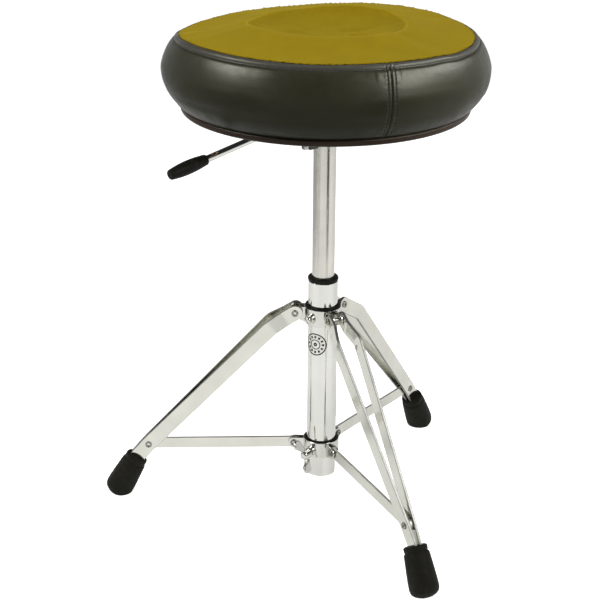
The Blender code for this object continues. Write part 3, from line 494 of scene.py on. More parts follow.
def rounded(points, radius, steps=3, closed=False):
    """Round the inner corners of an outline."""
    points = [Vector(p) for p in points]
    count = len(points)
    result = []
    for i, here in enumerate(points):
        if not closed and i in (0, count - 1):
            result.append(here)
            continue
        before, after = points[i - 1], points[(i + 1) % count]
        enter = here + (before - here).normalized() * min(radius, (before - here).length * 0.45)
        leave = here + (after - here).normalized() * min(radius, (after - here).length * 0.45)
        for k in range(steps + 1):
            t = k / steps
            result.append(enter.lerp(here, t).lerp(here.lerp(leave, t), t))
    return result


def spline_through(points, steps):
    """A smooth curve through points."""
    points = [Vector(p) for p in points]
    result = []
    for i in range(len(points) - 1):
        a, b = points[max(i - 1, 0)], points[i]
        c, d = points[i + 1], points[min(i + 2, len(points) - 1)]
        for k in range(steps):
            t = k / steps
            result.append(0.5 * (2.0 * b + (c - a) * t + (2.0 * a - 5.0 * b + 4.0 * c - d) * t * t
                                 + (3.0 * b - a - 3.0 * c + d) * t * t * t))
    result.append(points[-1])
    return result


def revolve(name, profile, segments=72, matrix=POST, ring=False, angle=32.0):
    """Turn (radius, height) points about Z; a ring's profile is a closed loop."""
    rings = []
    for radius, height in profile:
        around = circle(0.0, 0.0, radius, segments) if radius > 1e-7 else [(0.0, 0.0)]
        rings.append([(x, y, height) for x, y in around])
    return lay(make(name, *loft(rings, ring), angle), matrix)


def square_ring(inner, outer, bottom, top, edge=0.4 * MM):
    """The rounded section of a plain ring."""
    return rounded([(outer, top), (outer, bottom), (inner, bottom), (inner, top)], edge, 3, closed=True)


def plate(name, loops, thickness, bevel, matrix):
    """A flat plate from 2D loops, with rounded edges."""
    curve = bpy.data.curves.new(name, "CURVE")
    curve.dimensions = "2D"
    curve.fill_mode = "BOTH"
    curve.extrude = thickness / 2.0 - bevel
    curve.bevel_depth = bevel
    curve.bevel_resolution = 2
    curve.offset = -bevel
    for loop in loops:
        spline = curve.splines.new("POLY")
        spline.points.add(len(loop) - 1)
        for point, place in zip(spline.points, loop):
            point.co = (place[0], place[1], 0.0, 1.0)
        spline.use_cyclic_u = True
    source = show(name, curve)
    bpy.context.view_layer.update()
    mesh = bpy.data.meshes.new_from_object(source.evaluated_get(bpy.context.evaluated_depsgraph_get()))
    bpy.data.objects.remove(source, do_unlink=True)
    outward(mesh, merge=0.005 * MM)
    shade(mesh, 40.0)
    mesh.materials.clear()
    return lay(show(name, mesh), matrix)


def circle(x, y, radius, count=40):
    """Points round a circle."""
    return [(x + radius * math.cos(TAU * i / count), y + radius * math.sin(TAU * i / count))
            for i in range(count)]


def arc(x, y, radius, start, end, count=14):
    """Points along an arc, with angles in degrees."""
    angles = [math.radians(start + (end - start) * i / count) for i in range(count + 1)]
    return [(x + radius * math.cos(a), y + radius * math.sin(a)) for a in angles]


def carve(obj, tools, operation="DIFFERENCE"):
    """Apply exact Booleans with loose tools, which are then removed."""
    for tool in tools:
        change = obj.modifiers.new("change", "BOOLEAN")
        change.operation = operation
        change.solver = "EXACT"
        change.object = tool
    apply_modifiers(obj)
    for tool in tools:
        bpy.data.objects.remove(tool, do_unlink=True)
    shade(obj.data)
    return obj


def apply_modifiers(obj):
    """Replace the mesh by its evaluated one."""
    bpy.context.view_layer.update()
    mesh = bpy.data.meshes.new_from_object(obj.evaluated_get(bpy.context.evaluated_depsgraph_get()))
    obj.modifiers.clear()
    obj.data = mesh


def box_tool(low, high, matrix):
    """A cutting box between two corners."""
    corners = [(x, y, z) for x in (low[0], high[0]) for y in (low[1], high[1]) for z in (low[2], high[2])]
    faces = [(0, 1, 3, 2), (4, 6, 7, 5), (0, 4, 5, 1), (2, 3, 7, 6), (0, 2, 6, 4), (1, 5, 7, 3)]
    return lay(make("tool", corners, faces), matrix)


def sweep(name, stations, section):
    """Loft a closed section along stations of (centre, up, side, height share)."""
    rings = [[centre + up * (a * share) + side * b for a, b in section]
             for centre, up, side, share in stations]
    return make(name, *loft(rings, capped=True), 40.0)


def tube_along(name, route, radius, sides=24):
    """A round rod along a smooth route, with rounded ends."""
    last = len(route) - 1
    directions = [(route[min(i + 1, last)] - route[max(i - 1, 0)]).normalized() for i in range(last + 1)]
    stations = [(p, d, radius) for p, d in zip(route, directions)]
    for reach, share in ((0.35, 0.94), (0.72, 0.69)):
        stations.insert(0, (route[0] - directions[0] * radius * reach, directions[0], radius * share))
        stations.append((route[-1] + directions[-1] * radius * reach, directions[-1], radius * share))
    sideways = Vector((0.0, 1.0, 0.0))
    rings = []
    for point, along, size in stations:
        right = (sideways - along * along.dot(sideways)).normalized()
        other = along.cross(right)
        rings.append([point + (right * x + other * y) * size for x, y in circle(0.0, 0.0, 1.0, sides)])
    return make(name, *loft(rings, capped=True), 50.0)


def spoke(azimuth, height=0.0):
    """Frame at a height on the post axis whose Z axis points out along an azimuth."""
    return leg_frame(azimuth, height=height) @ Matrix.Rotation(math.pi / 2.0, 4, "Y")


def leg_frame(azimuth, radius=0.0, height=0.0):
    """Frame at a radius and height whose X axis points out along a leg, Z up."""
    return POST @ Matrix.Rotation(azimuth, 4, "Z") @ Matrix.Translation((radius, 0.0, height))


def across(azimuth, radius, height):
    """Frame of a pin: its Z axis lies across a leg, at a radius and height."""
    return leg_frame(azimuth, radius, height) @ Matrix.Rotation(-math.pi / 2.0, 4, "X")


# ---------------------------------------------------------------- camera, light and floor

def place_camera():
    """A long lens from the front, looking a little down at the seat."""
    yaw, pitch, roll = -0.0509, 0.3800, 0.00789
    forward = Vector((math.sin(yaw) * math.cos(pitch), math.cos(yaw) * math.cos(pitch), -math.sin(pitch)))
    right = forward.cross(Vector((0.0, 0.0, 1.0))).normalized()
    up = right.cross(forward)
    rolled_right = right * math.cos(roll) + up * math.sin(roll)
    rolled_up = up * math.cos(roll) - right * math.sin(roll)
    data = bpy.data.cameras.new("camera")
    data.sensor_width = 36.0
    data.lens = 98.576
    camera = show("camera", data)
    turn = Matrix((rolled_right, rolled_up, -forward)).transposed().to_4x4()
    camera.matrix_world = Matrix.Translation((POST_X + 0.0615, -1.7122, 0.9335)) @ turn
    bpy.context.scene.camera = camera


def area_light(name, azimuth, elevation, distance, size, power, glossy=True, only_on=None):
    """A softbox that faces the middle of the throne, seen by every piece or by one alone."""
    data = bpy.data.lights.new(name, "AREA")
    data.shape = "RECTANGLE"
    data.size, data.size_y = size
    data.energy = power
    light = show(name, data)
    a, e = math.radians(azimuth), math.radians(elevation)
    aim = Vector((POST_X, 0.0, 0.40))
    out = Vector((math.cos(e) * math.cos(a), math.cos(e) * math.sin(a), math.sin(e)))
    light.location = aim + out * distance
    light.rotation_euler = (-out).to_track_quat("-Z", "Y").to_euler()
    light.visible_glossy = glossy
    light.visible_camera = False
    if only_on:
        light.light_linking.receiver_collection = bpy.data.collections.new(f"{name}_receivers")
        light.light_linking.receiver_collection.objects.link(only_on)


def flag(name, azimuth, radius, width, low, high, tone_level):
    """A card out of the camera's sight that draws a dark line in the polished tubes."""
    a = math.radians(azimuth)
    out, side = Vector((math.cos(a), math.sin(a), 0.0)), Vector((-math.sin(a), math.cos(a), 0.0))
    middle = Vector((POST_X, 0.0, 0.0)) + out * radius
    corners = [middle + side * s * width / 2.0 + Vector((0.0, 0.0, z))
               for s, z in ((-1, low), (1, low), (1, high), (-1, high))]
    card = make(name, corners, [(0, 1, 2, 3)])
    paint = Paint(name, Specular_IOR_Level=0.0)
    tone = paint.ramp(paint.noise(20.0), ((0.3, (tone_level * 0.9,) * 3), (0.7, (tone_level,) * 3)))
    card.data.materials.append(paint.done(tone, paint.spread(paint.noise(30.0), 0.0, 1.0, 0.9, 1.0)))
    card.visible_camera = card.visible_diffuse = card.visible_shadow = False


def build_sky():
    """White for the camera; for reflections a room that is light low down, dark higher up and lit above."""
    world = bpy.data.worlds.new("studio")
    bpy.context.scene.world = world
    sky = Tree(world)
    sky.tree.nodes.clear()
    height = sky.node("SeparateXYZ", Vector=sky.node("TexCoord").outputs["Generated"]).outputs["Z"]
    levels = ((0.0, 0.85), (0.17, 0.75), (0.31, 0.10), (0.45, 0.04), (0.86, 0.04), (0.97, 0.55))
    room = sky.node("Background", Color=sky.ramp(height, [(place, (level,) * 3) for place, level in levels]))
    white = sky.node("Background", Color=(1.0, 1.0, 1.0, 1.0), Strength=1.05)
    chooser = sky.node("MixShader", Fac=sky.node("LightPath").outputs["Is Camera Ray"])
    sky.join(room.outputs[0], chooser.inputs[1])
    sky.join(white.outputs[0], chooser.inputs[2])
    sky.node("OutputWorld", Surface=chooser.outputs[0])


def build_studio():
    """White floor, two side softboxes, fills from above and behind, and dark cards."""
    rim = circle(POST_X, 0.0, 1.9, 96)
    verts = [(POST_X, 0.0, 0.0)] + [(x, y, 0.0) for x, y in rim]
    floor = make("floor", verts, [(0, 1 + i, 1 + (i + 1) % len(rim)) for i in range(len(rim))])
    floor.data.materials.append(floor_paint())
    build_sky()
    area_light("softbox_left", 200.0, 36.0, 1.9, (0.9, 0.8), 17.0)
    area_light("softbox_right", 334.0, 34.0, 1.9, (0.9, 0.8), 17.0)
    area_light("overhead", 250.0, 72.0, 1.9, (1.8, 1.8), 16.0, glossy=False)
    area_light("back_fill", 70.0, 40.0, 2.2, (1.6, 1.0), 7.0, glossy=False)
    flag("flag_right", 309.0, 0.62, 0.25, 0.09, 0.60, 0.02)
    flag("flag_left", 165.0, 0.82, 1.10, 0.0, 0.70, 0.58)
    flag("flag_side", 214.0, 0.84, 0.50, 0.0, 0.70, 0.70)
    bpy.context.scene.view_settings.view_transform = "Standard"
    bpy.context.scene.view_settings.look = "None"


# ---------------------------------------------------------------- post and gas spring

def build_post():
    """Base tube, its top bush, the gas spring's tube and the badge."""
    low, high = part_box("base_tube")
    wall = square_ring(BASE_TUBE_RADIUS - 1.5 * MM, BASE_TUBE_RADIUS, low[2], high[2], 0.7 * MM)
    piece(revolve("base_tube_shell", wall, 128, ring=True), "base", CHROME, "chrome", "base_tube")

    bush = mm([(12.9, 5.0), (15.1, 5.2), (17.0, 4.0), (17.3, 2.2), (16.7, 0.1), (14.9, 0.0), (14.9, -44.0),
               (13.0, -44.0)], rise=high[2] + GAP)
    bush = revolve("tube_bush", rounded(bush, 0.9 * MM, 4, closed=True), 96, ring=True)
    piece(bush, "base", BLACK_PLASTIC, "black_plastic", "top_bush")

    low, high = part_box("pressure_tube")
    bore, rod_hole, under_cap = 11.2 * MM, 2.0 * MM, high[2] - 4.0 * MM
    profile = [(rod_hole, high[2]), (GAS_TUBE_RADIUS, high[2]), (GAS_TUBE_RADIUS, low[2]), (bore, low[2]),
               (bore, under_cap), (rod_hole, under_cap)]
    tube = revolve("gas_tube", rounded(profile, 0.8 * MM, 4, closed=True), 112, ring=True)
    piece(tube, "seat", SATIN_CHROME, "satin_chrome", "pressure_tube")
    build_badge()


def build_badge():
    """A generic dial of plain rings and ticks, printed on the base tube."""
    centre_azimuth, centre_height = math.radians(243.9), 201.3 * MM
    under, top = BASE_TUBE_RADIUS + 0.02 * MM, BASE_TUBE_RADIUS + 0.14 * MM

    def wrapped(x, y, radius):
        a = centre_azimuth + x / BASE_TUBE_RADIUS
        return (POST_X + radius * math.cos(a), radius * math.sin(a), centre_height + y)

    def band(inner, outer, start=0.0, end=TAU):
        whole = end - start == TAU
        steps = 96 if whole else 6
        rings = []
        for i in range(steps if whole else steps + 1):
            a = start + (end - start) * i / steps
            corners = ((inner, under), (outer, under), (outer, top), (inner, top))
            rings.append([wrapped(r * MM * math.cos(a), r * MM * math.sin(a), level)
                          for r, level in corners])
        return loft(rings, closed=whole, capped=not whole)

    bands = [band(11.9, 13.3), band(5.0, 6.0), band(0.6, 2.2)]
    ticks, half_tick = 12, 0.13
    for number in range(ticks):
        middle = TAU * number / ticks
        bands.append(band(7.6, 10.4, middle - half_tick, middle + half_tick))
    piece(make("tube_badge", *gather(bands), 30.0), "base", INK, "black_plastic")


# ---------------------------------------------------------------- bracket and collar


def bracket(name, pin, ear_radius, offset, thickness, bottom, top, ear_bottom, boss_frame, boss_outer):
    """A ring with three pairs of ears, square at the ring and round about their pins, and a round boss."""
    ring = revolve(name, square_ring(RING_INNER, RING_OUTER, bottom, top, 0.5 * MM), 96, ring=True)
    reach, height = pin
    inner = RING_OUTER - 1.3 * MM
    outline = [(inner, height + ear_radius), (inner, ear_bottom), (reach, height - ear_radius),
               *arc(reach, height, ear_radius, -75.0, 75.0, 16), (reach, height + ear_radius)]
    tools = []
    for azimuth in LEG_AZIMUTHS.values():
        for sign in (1.0, -1.0):
            stand = leg_frame(azimuth) @ Matrix.Translation((0.0, sign * offset, 0.0)) @ UPRIGHT
            tools.append(plate("tool", [outline], thickness, 0.45 * MM, stand))
    start = RING_OUTER - 1.0 * MM
    boss = rounded([(0.0, boss_outer), (5.6 * MM, boss_outer), (6.2 * MM, start), (0.0, start)], 0.8 * MM, 3)
    tools.append(revolve("tool", boss, 48, boss_frame))
    return carve(ring, tools, "UNION")


def sleeve_ring(name, bottom, top, lip, reach):
    """Plastic sleeve whose rolled lip shows above its metal ring."""
    inner, outer = BASE_TUBE_RADIUS + GAP, RING_INNER - GAP
    profile = [(inner, top + lip - 0.4 * MM), (inner + 0.5 * MM, top + lip), (reach - 0.9 * MM, top + lip),
               (reach, top + lip * 0.45), (reach - 0.3 * MM, top + GAP), (outer, top + GAP), (outer, bottom),
               (inner, bottom)]
    return revolve(name, rounded(profile, 0.7 * MM, 3, closed=True), 96, ring=True)


def build_brackets():
    """The fixed bracket with its clamp screw, and the sliding collar with its wing bolt."""
    aim = spoke(CLAMP_AZIMUTH, CLAMP_SCREW_HEIGHT)
    upper = bracket("hinge_bracket", LEG_PIVOT, 6.7 * MM, 5.2 * MM, 2.2 * MM, BRACKET_BOTTOM, BRACKET_TOP,
                    BRACKET_BOTTOM + 0.5 * MM, aim, 24.2 * MM)
    piece(upper, "base", CAST_CHROME, "chrome", "upper_bracket")
    sleeve = sleeve_ring("hinge_sleeve", BRACKET_BOTTOM + 1.0 * MM, BRACKET_TOP, 2.4 * MM,
                         RING_OUTER - 0.4 * MM)
    piece(sleeve, "base", BLACK_PLASTIC, "black_plastic", "bracket_sleeve")

    head = mm([(0.0, 28.8), (3.4, 28.6), (4.3, 27.4), (4.3, 24.5), (2.4, 24.5), (2.4, 17.3), (0.0, 17.3)])
    screw = revolve("hinge_clamp_screw", rounded(head, 0.6 * MM, 3), 48, aim)
    slot = box_tool((-5.0 * MM, -0.55 * MM, 27.5 * MM), (5.0 * MM, 0.55 * MM, 31.0 * MM),
                    aim @ Matrix.Rotation(0.7, 4, "Z"))
    piece(carve(screw, [slot]), "base", CAST_CHROME, "steel", "clamp_screw")

    lower = bracket("brace_collar", COLLAR_PIN, 6.5 * MM, 3.1 * MM, 2.0 * MM, COLLAR_BOTTOM, COLLAR_TOP,
                    COLLAR_BOTTOM + 1.0 * MM, spoke(WING_AZIMUTH, WING_HEIGHT), 24.6 * MM)
    piece(lower, "collar", CAST_CHROME, "chrome", "lower_collar")
    sleeve = sleeve_ring("brace_collar_sleeve", COLLAR_BOTTOM + 1.0 * MM, COLLAR_TOP, 0.8 * MM, 18.9 * MM)
    piece(sleeve, "collar", BLACK_PLASTIC, "black_plastic", "collar_sleeve")
    build_wing_bolt()


def build_wing_bolt():
    """Cast wing bolt with fillets between its lobes and its boss, and a threaded shank."""
    stand = spoke(WING_AZIMUTH, WING_HEIGHT)
    barrel = mm([(0.0, 39.3), (3.6, 38.8), (5.0, 36.5), (5.7, 27.2), (0.0, 27.2)])
    boss = revolve("wing", rounded(barrel, 0.8 * MM, 3), 48, Matrix())
    outline = mm([(-2.0, 28.6), (2.0, 28.6), (8.6, 31.4), *arc(14.0, 40.0, 6.4, -78.0, 118.0, 18),
                  (7.6, 40.0), (4.0, 36.4), (-4.0, 36.4), (-7.6, 40.0),
                  *arc(-14.0, 40.0, 6.4, 62.0, 258.0, 18), (-8.6, 31.4)])
    lobes = plate("tool", [outline], 3.6 * MM, 1.1 * MM, Matrix.Rotation(WING_TILT, 4, "Z") @ UPRIGHT)
    carve(boss, [lobes], "UNION")
    remesh = boss.modifiers.new("cast", "REMESH")
    remesh.mode = "VOXEL"
    remesh.voxel_size = 0.42 * MM
    relax = boss.modifiers.new("relax", "SMOOTH")
    relax.iterations = 9
    relax.factor = 0.5
    apply_modifiers(boss)
    shade(boss.data, 60.0)
    lay(boss, stand)
    steps = 44
    thread = [(2.95 if i % 4 < 2 else 2.5, 27.8 - 10.5 * i / steps) for i in range(steps)]
    profile = mm([(0.0, 28.0), (2.9, 28.0), *thread, (2.4, 17.1), (0.0, 17.1)])
    shank = revolve("shank", profile, 28, stand, angle=60.0)
    piece(join("collar_wing_bolt", [boss, shank]), "wing", CAST_CHROME, "chrome", "wing_bolt")


# ---------------------------------------------------------------- legs and braces

def strip_route(side):
    """Centre line of a strip in its leg's frame, with rounded bends."""
    offset = {key: side * value for key, value in STRIP_OFFSETS.items()}
    along = Vector((math.cos(FOOT_SLOPE), 0.0, -math.sin(FOOT_SLOPE)))
    foot_top = Vector((FOOT_TOP[0], offset["foot"], FOOT_TOP[1]))
    corners = [Vector((LEG_PIVOT[0], offset["pivot"], LEG_PIVOT[1])),
               Vector((40.5 * MM, offset["pivot"], 230.1 * MM)),
               Vector((LEG_KINK[0], offset["kink"], LEG_KINK[1])),
               Vector((LEG_RIVET[0], offset["rivet"], LEG_RIVET[1])),
               foot_top, foot_top + along * 16.0 * MM]
    return rounded(corners, 3.6 * MM, 5)


def build_strip(name, side, azimuth):
    """One bent strip with rolled edges and a round upper end."""
    route = strip_route(side)
    half, thick = STRIP_HALF, STRIP_THICKNESS / 2.0
    corners = [(half, thick), (half, -thick), (-half, -thick), (-half, thick)]
    section = [tuple(p) for p in rounded(corners, 0.55 * MM, 3, closed=True)]
    back = (route[0] - route[1]).normalized()
    points = [(route[0] + back * half * math.cos(math.radians(a)), math.sin(math.radians(a)))
              for a in (9.0, 20.0, 32.0, 45.0, 58.0, 71.0, 82.0)]
    points += [(point, 1.0) for point in route]
    stations = []
    for i, (point, share) in enumerate(points):
        before, after = points[max(i - 1, 0)][0], points[min(i + 1, len(points) - 1)][0]
        along = (after - before).normalized()
        level = Vector((along.x, 0.0, along.z)).normalized()
        up = Vector((-level.z, 0.0, level.x))
        stations.append((point, up, along.cross(up).normalized(), share))
    return lay(sweep(name, stations, section), leg_frame(azimuth))


def hollow_rivet(name, half_length, azimuth, radius, height):
    """A tubular rivet across a leg: two rolled heads with a hollow in each."""
    outer = mm([(1.5, -1.4), (1.7, 0.6), (2.3, 1.3), (3.2, 1.3), (3.9, 0.75), (3.9, 0.05), (2.5, 0.0)],
               half_length)
    outline = [(0.0, outer[0][1])] + outer
    outline += [(r, -h) for r, h in reversed(outer)] + [(0.0, -outer[0][1])]
    return revolve(name, rounded(outline, 0.35 * MM, 2), 40, across(azimuth, radius, height), angle=45.0)


def washer(name, inner, outer, low, high, azimuth, radius, height):
    """A flat washer on a pin."""
    section = square_ring(inner, outer, low, high, 0.25 * MM)
    return revolve(name, section, 40, across(azimuth, radius, height), ring=True)


def build_foot(name, azimuth):
    """Rubber foot with a turned-over collar, a pocket for the strips and a flat tread."""
    profile = mm([(0.0, 0.0), (11.4, 0.1), (12.8, -0.8), (13.1, -2.2), (13.0, -5.0), (12.5, -6.4),
                  (12.7, -7.2), (13.7, -7.9), (14.2, -9.6), (14.6, -15.0), (15.6, -28.0), (16.2, -39.0),
                  (16.3, -46.0), (15.2, -50.2), (12.0, -53.4), (7.0, -55.6), (0.0, -56.5)])
    stand = leg_frame(azimuth, *FOOT_TOP) @ Matrix.Rotation(FOOT_SLOPE - math.pi / 2.0, 4, "Y")
    foot = revolve(name, rounded(profile, 1.1 * MM, 3), 72, stand, angle=38.0)
    pocket = box_tool((-8.9 * MM, -4.6 * MM, -17.0 * MM), (8.9 * MM, 4.6 * MM, 5.0 * MM), stand)
    ground = box_tool((-0.2, -0.2, -0.2), (0.2, 0.2, 0.0), leg_frame(azimuth, LEG_RIVET[0]))
    return carve(foot, [pocket, ground])


def paint_edge_light(bar, azimuth, material, low, high):
    """Paint light on a bar's sheared edges: a darker copy of its chrome as painted shade on the strips, a
    paler one as painted highlight on the brace, on faces this far turned towards its flat sides.
    """
    sideways = leg_frame(azimuth).to_3x3() @ Vector((0.0, 1.0, 0.0))
    bar.data.materials.append(material)
    for face in bar.data.polygons:
        if low < abs(face.normal.dot(sideways)) < high:
            face.material_index = len(bar.data.materials) - 1


def build_leg(side, azimuth):
    """Two strips, the foot, the hinge rivet and the brace rivet with its washers."""
    body = f"leg_{side}"
    for which, sign in (("a", 1.0), ("b", -1.0)):
        strip = build_strip(f"strip_{side}_{which}", sign, azimuth)
        piece(strip, body, BAR_CHROME, "chrome", f"leg_strip_{side}_{which}")
        # Painted shade: darker chrome on the strips' edges and their rounded breaks.
        paint_edge_light(strip, azimuth, STRIP_EDGE_PAINTED_SHADE, -1.0, 0.35)
        paint_edge_light(strip, azimuth, STRIP_BREAK_PAINTED_SHADE, 0.35, 0.93)
    piece(build_foot(f"rubber_foot_{side}", azimuth), body, RUBBER, "rubber", f"foot_{side}")
    reach = STRIP_OFFSETS["pivot"] + STRIP_THICKNESS / 2.0 + GAP
    pin = hollow_rivet(f"hinge_rivet_{side}", reach, azimuth, *LEG_PIVOT)
    piece(pin, body, RIVET, "steel", f"leg_pin_{side}")
    reach = STRIP_OFFSETS["rivet"] + STRIP_THICKNESS / 2.0 + 0.1 * MM
    rivet = hollow_rivet(f"brace_rivet_{side}", reach, azimuth, *LEG_RIVET)
    piece(rivet, body, RIVET, "steel", f"brace_rivet_{side}_a", f"brace_rivet_{side}_b")
    spacers = [washer("spacer", 2.6 * MM, 5.4 * MM, *span, azimuth, *LEG_RIVET)
               for span in ((1.55 * MM, 2.35 * MM), (-2.35 * MM, -1.55 * MM))]
    piece(join(f"brace_washers_{side}", spacers), body, NYLON, "black_plastic")


def build_brace(side, azimuth):
    """Flat bar with a round eye at both ends, and the rivet that holds it in the collar."""
    run = Vector((LEG_RIVET[0] - COLLAR_PIN[0], LEG_RIVET[1] - COLLAR_PIN[1]))
    slope = math.atan2(-run.y, run.x)
    half = 6.6 * MM
    outline = [*arc(0.0, 0.0, half, 90.0, 270.0, 20), *arc(run.length, 0.0, half, -90.0, 90.0, 20)]
    holes = [circle(0.0, 0.0, 2.8 * MM, 28), circle(run.length, 0.0, 2.8 * MM, 28)]
    stand = leg_frame(azimuth, *COLLAR_PIN) @ Matrix.Rotation(slope, 4, "Y") @ UPRIGHT
    bar = plate(f"brace_bar_{side}", [outline] + holes, 3.0 * MM, 0.5 * MM, stand)
    piece(bar, f"brace_{side}", BAR_CHROME, "chrome", f"brace_{side}")
    # Painted highlight: paler chrome on the brace's edges.
    paint_edge_light(bar, azimuth, BRACE_EDGE_PAINTED_HIGHLIGHT, -1.0, 0.4)
    pin = hollow_rivet(f"collar_rivet_{side}", 4.4 * MM, azimuth, *COLLAR_PIN)
    piece(pin, f"brace_{side}", RIVET, "steel", f"collar_pin_{side}")


# ---------------------------------------------------------------- lever and hub

def build_lever():
    """Bent chrome rod with a barrel grip on its end."""
    stand = leg_frame(LEVER_AZIMUTH)
    drop = math.tan(LEVER_SLOPE)
    bend = LEVER_BEND_RADIUS
    end = LEVER_TIP_RADIUS - 12.0 * MM
    corners = [Vector((-1.0 * MM, 0.0, LEVER_HEIGHT)), Vector((bend, 0.0, LEVER_HEIGHT)),
               Vector((end, 0.0, LEVER_HEIGHT - (end - bend) * drop))]
    rod = tube_along("release_rod", rounded(corners, 14.0 * MM, 10), LEVER_ROD_RADIUS)
    piece(lay(rod, stand), "lever", CHROME, "chrome", "lever_rod")

    tip = Vector((LEVER_TIP_RADIUS, 0.0, LEVER_HEIGHT - (LEVER_TIP_RADIUS - bend) * drop))
    barrel = mm([(0.0, 0.0), (4.3, -0.1), (5.3, -1.0), (5.6, -2.6), (6.2, -7.0), (6.85, -13.0),
                 (7.25, -20.0), (7.25, -27.0), (6.85, -34.5), (6.2, -41.0), (5.75, -45.0), (5.65, -46.3),
                 (5.2, -47.0), (4.15, -47.0), (4.1, -11.0), (0.0, -11.0)])
    turn = stand @ Matrix.Translation(tip) @ Matrix.Rotation(math.pi / 2.0 + LEVER_SLOPE, 4, "Y")
    grip = revolve("release_grip", rounded(barrel, 0.9 * MM, 3), 64, turn)
    piece(grip, "lever", BLACK_PLASTIC, "black_plastic", "lever_grip")


PLATE_CORNERS = ((1, 1), (-1, 1), (-1, -1), (1, -1))


def build_hub():
    """Hub with the lever's slot and its lug, the mounting plate, and the screws."""
    inner, seat_hole = 12.9 * MM, 8.0 * MM
    profile = [*mm([(34.0, 0.0), (34.0, -3.0), (21.0, -5.0), (18.5, -22.0)], HUB_TOP),
               (17.0 * MM, HUB_BOTTOM + 1.5 * MM), (15.8 * MM, HUB_BOTTOM), (inner, HUB_BOTTOM),
               (inner, GAS_TUBE_TOP + GAP), (seat_hole, GAS_TUBE_TOP + GAP), (seat_hole, HUB_TOP)]
    hub = revolve("hub_casting", rounded(profile, 0.7 * MM, 3, closed=True), 72, ring=True)
    start, side, tall = 14.2 * MM, 5.0 * MM, 19.0 * MM
    lug = plate("tool", [[(start, -side), (LUG_REACH, -side), (LUG_REACH, side), (start, side)]], tall,
                0.6 * MM, leg_frame(LEVER_AZIMUTH, height=LUG_BOTTOM + tall / 2.0))
    slot = box_tool((5.0 * MM, -4.6 * MM, LEVER_HEIGHT - 5.0 * MM),
                    (40.0 * MM, 4.6 * MM, LEVER_HEIGHT + 7.0 * MM), leg_frame(LEVER_AZIMUTH))
    piece(carve(carve(hub, [lug], "UNION"), [slot]), "seat", ENAMEL, "black_steel", "seat_hub")
    build_mounting_plate()
    for number in range(1, 5):
        build_plate_screw(number)

    aim = spoke(LEVER_AZIMUTH, LUG_BOTTOM + 3.5 * MM)
    low, top = LUG_REACH + 0.1 * MM, LUG_REACH + 6.0 * MM
    bolt = [(0.0, top), (2.8 * MM, top), (3.7 * MM, top - 1.1 * MM), (3.7 * MM, low), (2.0 * MM, low),
            (2.0 * MM, 13.2 * MM), (0.0, 13.2 * MM)]
    hexagon = plate("tool", [circle(0.0, 0.0, 1.9 * MM, 6)], 3.0 * MM, 0.05 * MM,
                    aim @ Matrix.Translation((0.0, 0.0, top - 0.3 * MM)))
    bolt = revolve("hub_bolt", rounded(bolt, 0.4 * MM, 3), 40, aim)
    piece(carve(bolt, [hexagon]), "seat", ZINC, "steel", "hub_screw")


def build_mounting_plate():
    """Square plate with round corners and four holes, turned with the lever."""
    corner, inset = 12.0 * MM, 60.0 * MM - 12.0 * MM
    outline = []
    for turn, (sx, sy) in enumerate(PLATE_CORNERS):
        outline += arc(sx * inset, sy * inset, corner, 90.0 * turn, 90.0 * turn + 90.0, 8)
    holes = [circle(sx * 48.0 * MM, sy * 48.0 * MM, 2.8 * MM, 24) for sx, sy in PLATE_CORNERS]
    low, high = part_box("mounting_plate")
    square = plate("seat_plate", [outline] + holes, high[2] - low[2], 0.5 * MM,
                   leg_frame(LEVER_AZIMUTH, height=(low[2] + high[2]) / 2.0))
    piece(square, "seat", ENAMEL, "black_steel", "mounting_plate")


def build_plate_screw(number):
    """Pan head screw with a cross recess."""
    node = f"plate_screw_{number}"
    low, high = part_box(node)
    head = low[2]
    pan = mm([(0.0, 0.0), (2.6, 0.05), (4.5, 0.9), (5.0, 2.4), (2.2, 2.4)], head)
    pan += [(2.2 * MM, high[2] - 2.0 * MM), (0.0, high[2])]
    spot = Matrix.Translation(((low[0] + high[0]) / 2.0, (low[1] + high[1]) / 2.0, 0.0))
    screw = revolve(f"pan_screw_{number}", rounded(pan, 0.4 * MM, 3), 40, spot)
    turn = spot @ Matrix.Rotation(0.4 + number, 4, "Z")
    long, short = 2.4 * MM, 0.45 * MM
    cross = [box_tool((-x, -y, head - 1.0 * MM), (x, y, head + 1.2 * MM), turn)
             for x, y in ((long, short), (short, long))]
    piece(carve(screw, cross), "seat", ZINC, "steel", node)


# ---------------------------------------------------------------- seat

# The seat's outline in millimetres: its top from the middle to the seam, then its side down to the crease
TOP_POINTS = [(0.0, 551.6), (30.0, 552.6), (54.0, 555.6), (70.0, 559.4), (79.5, 563.4), (83.5, 565.5),
              (87.5, 565.8), (93.0, 565.1), (104.0, 562.6), (122.0, 559.0), (142.0, 556.4), (155.2, 554.9)]
SIDE_POINTS = [(161.6, 550.6), (165.4, 545.6), (169.0, 539.2), (172.8, 529.6), (175.0, 519.6),
               (173.4, 507.0), (168.0, 494.6), (160.8, 485.2), (156.8, 481.8)]


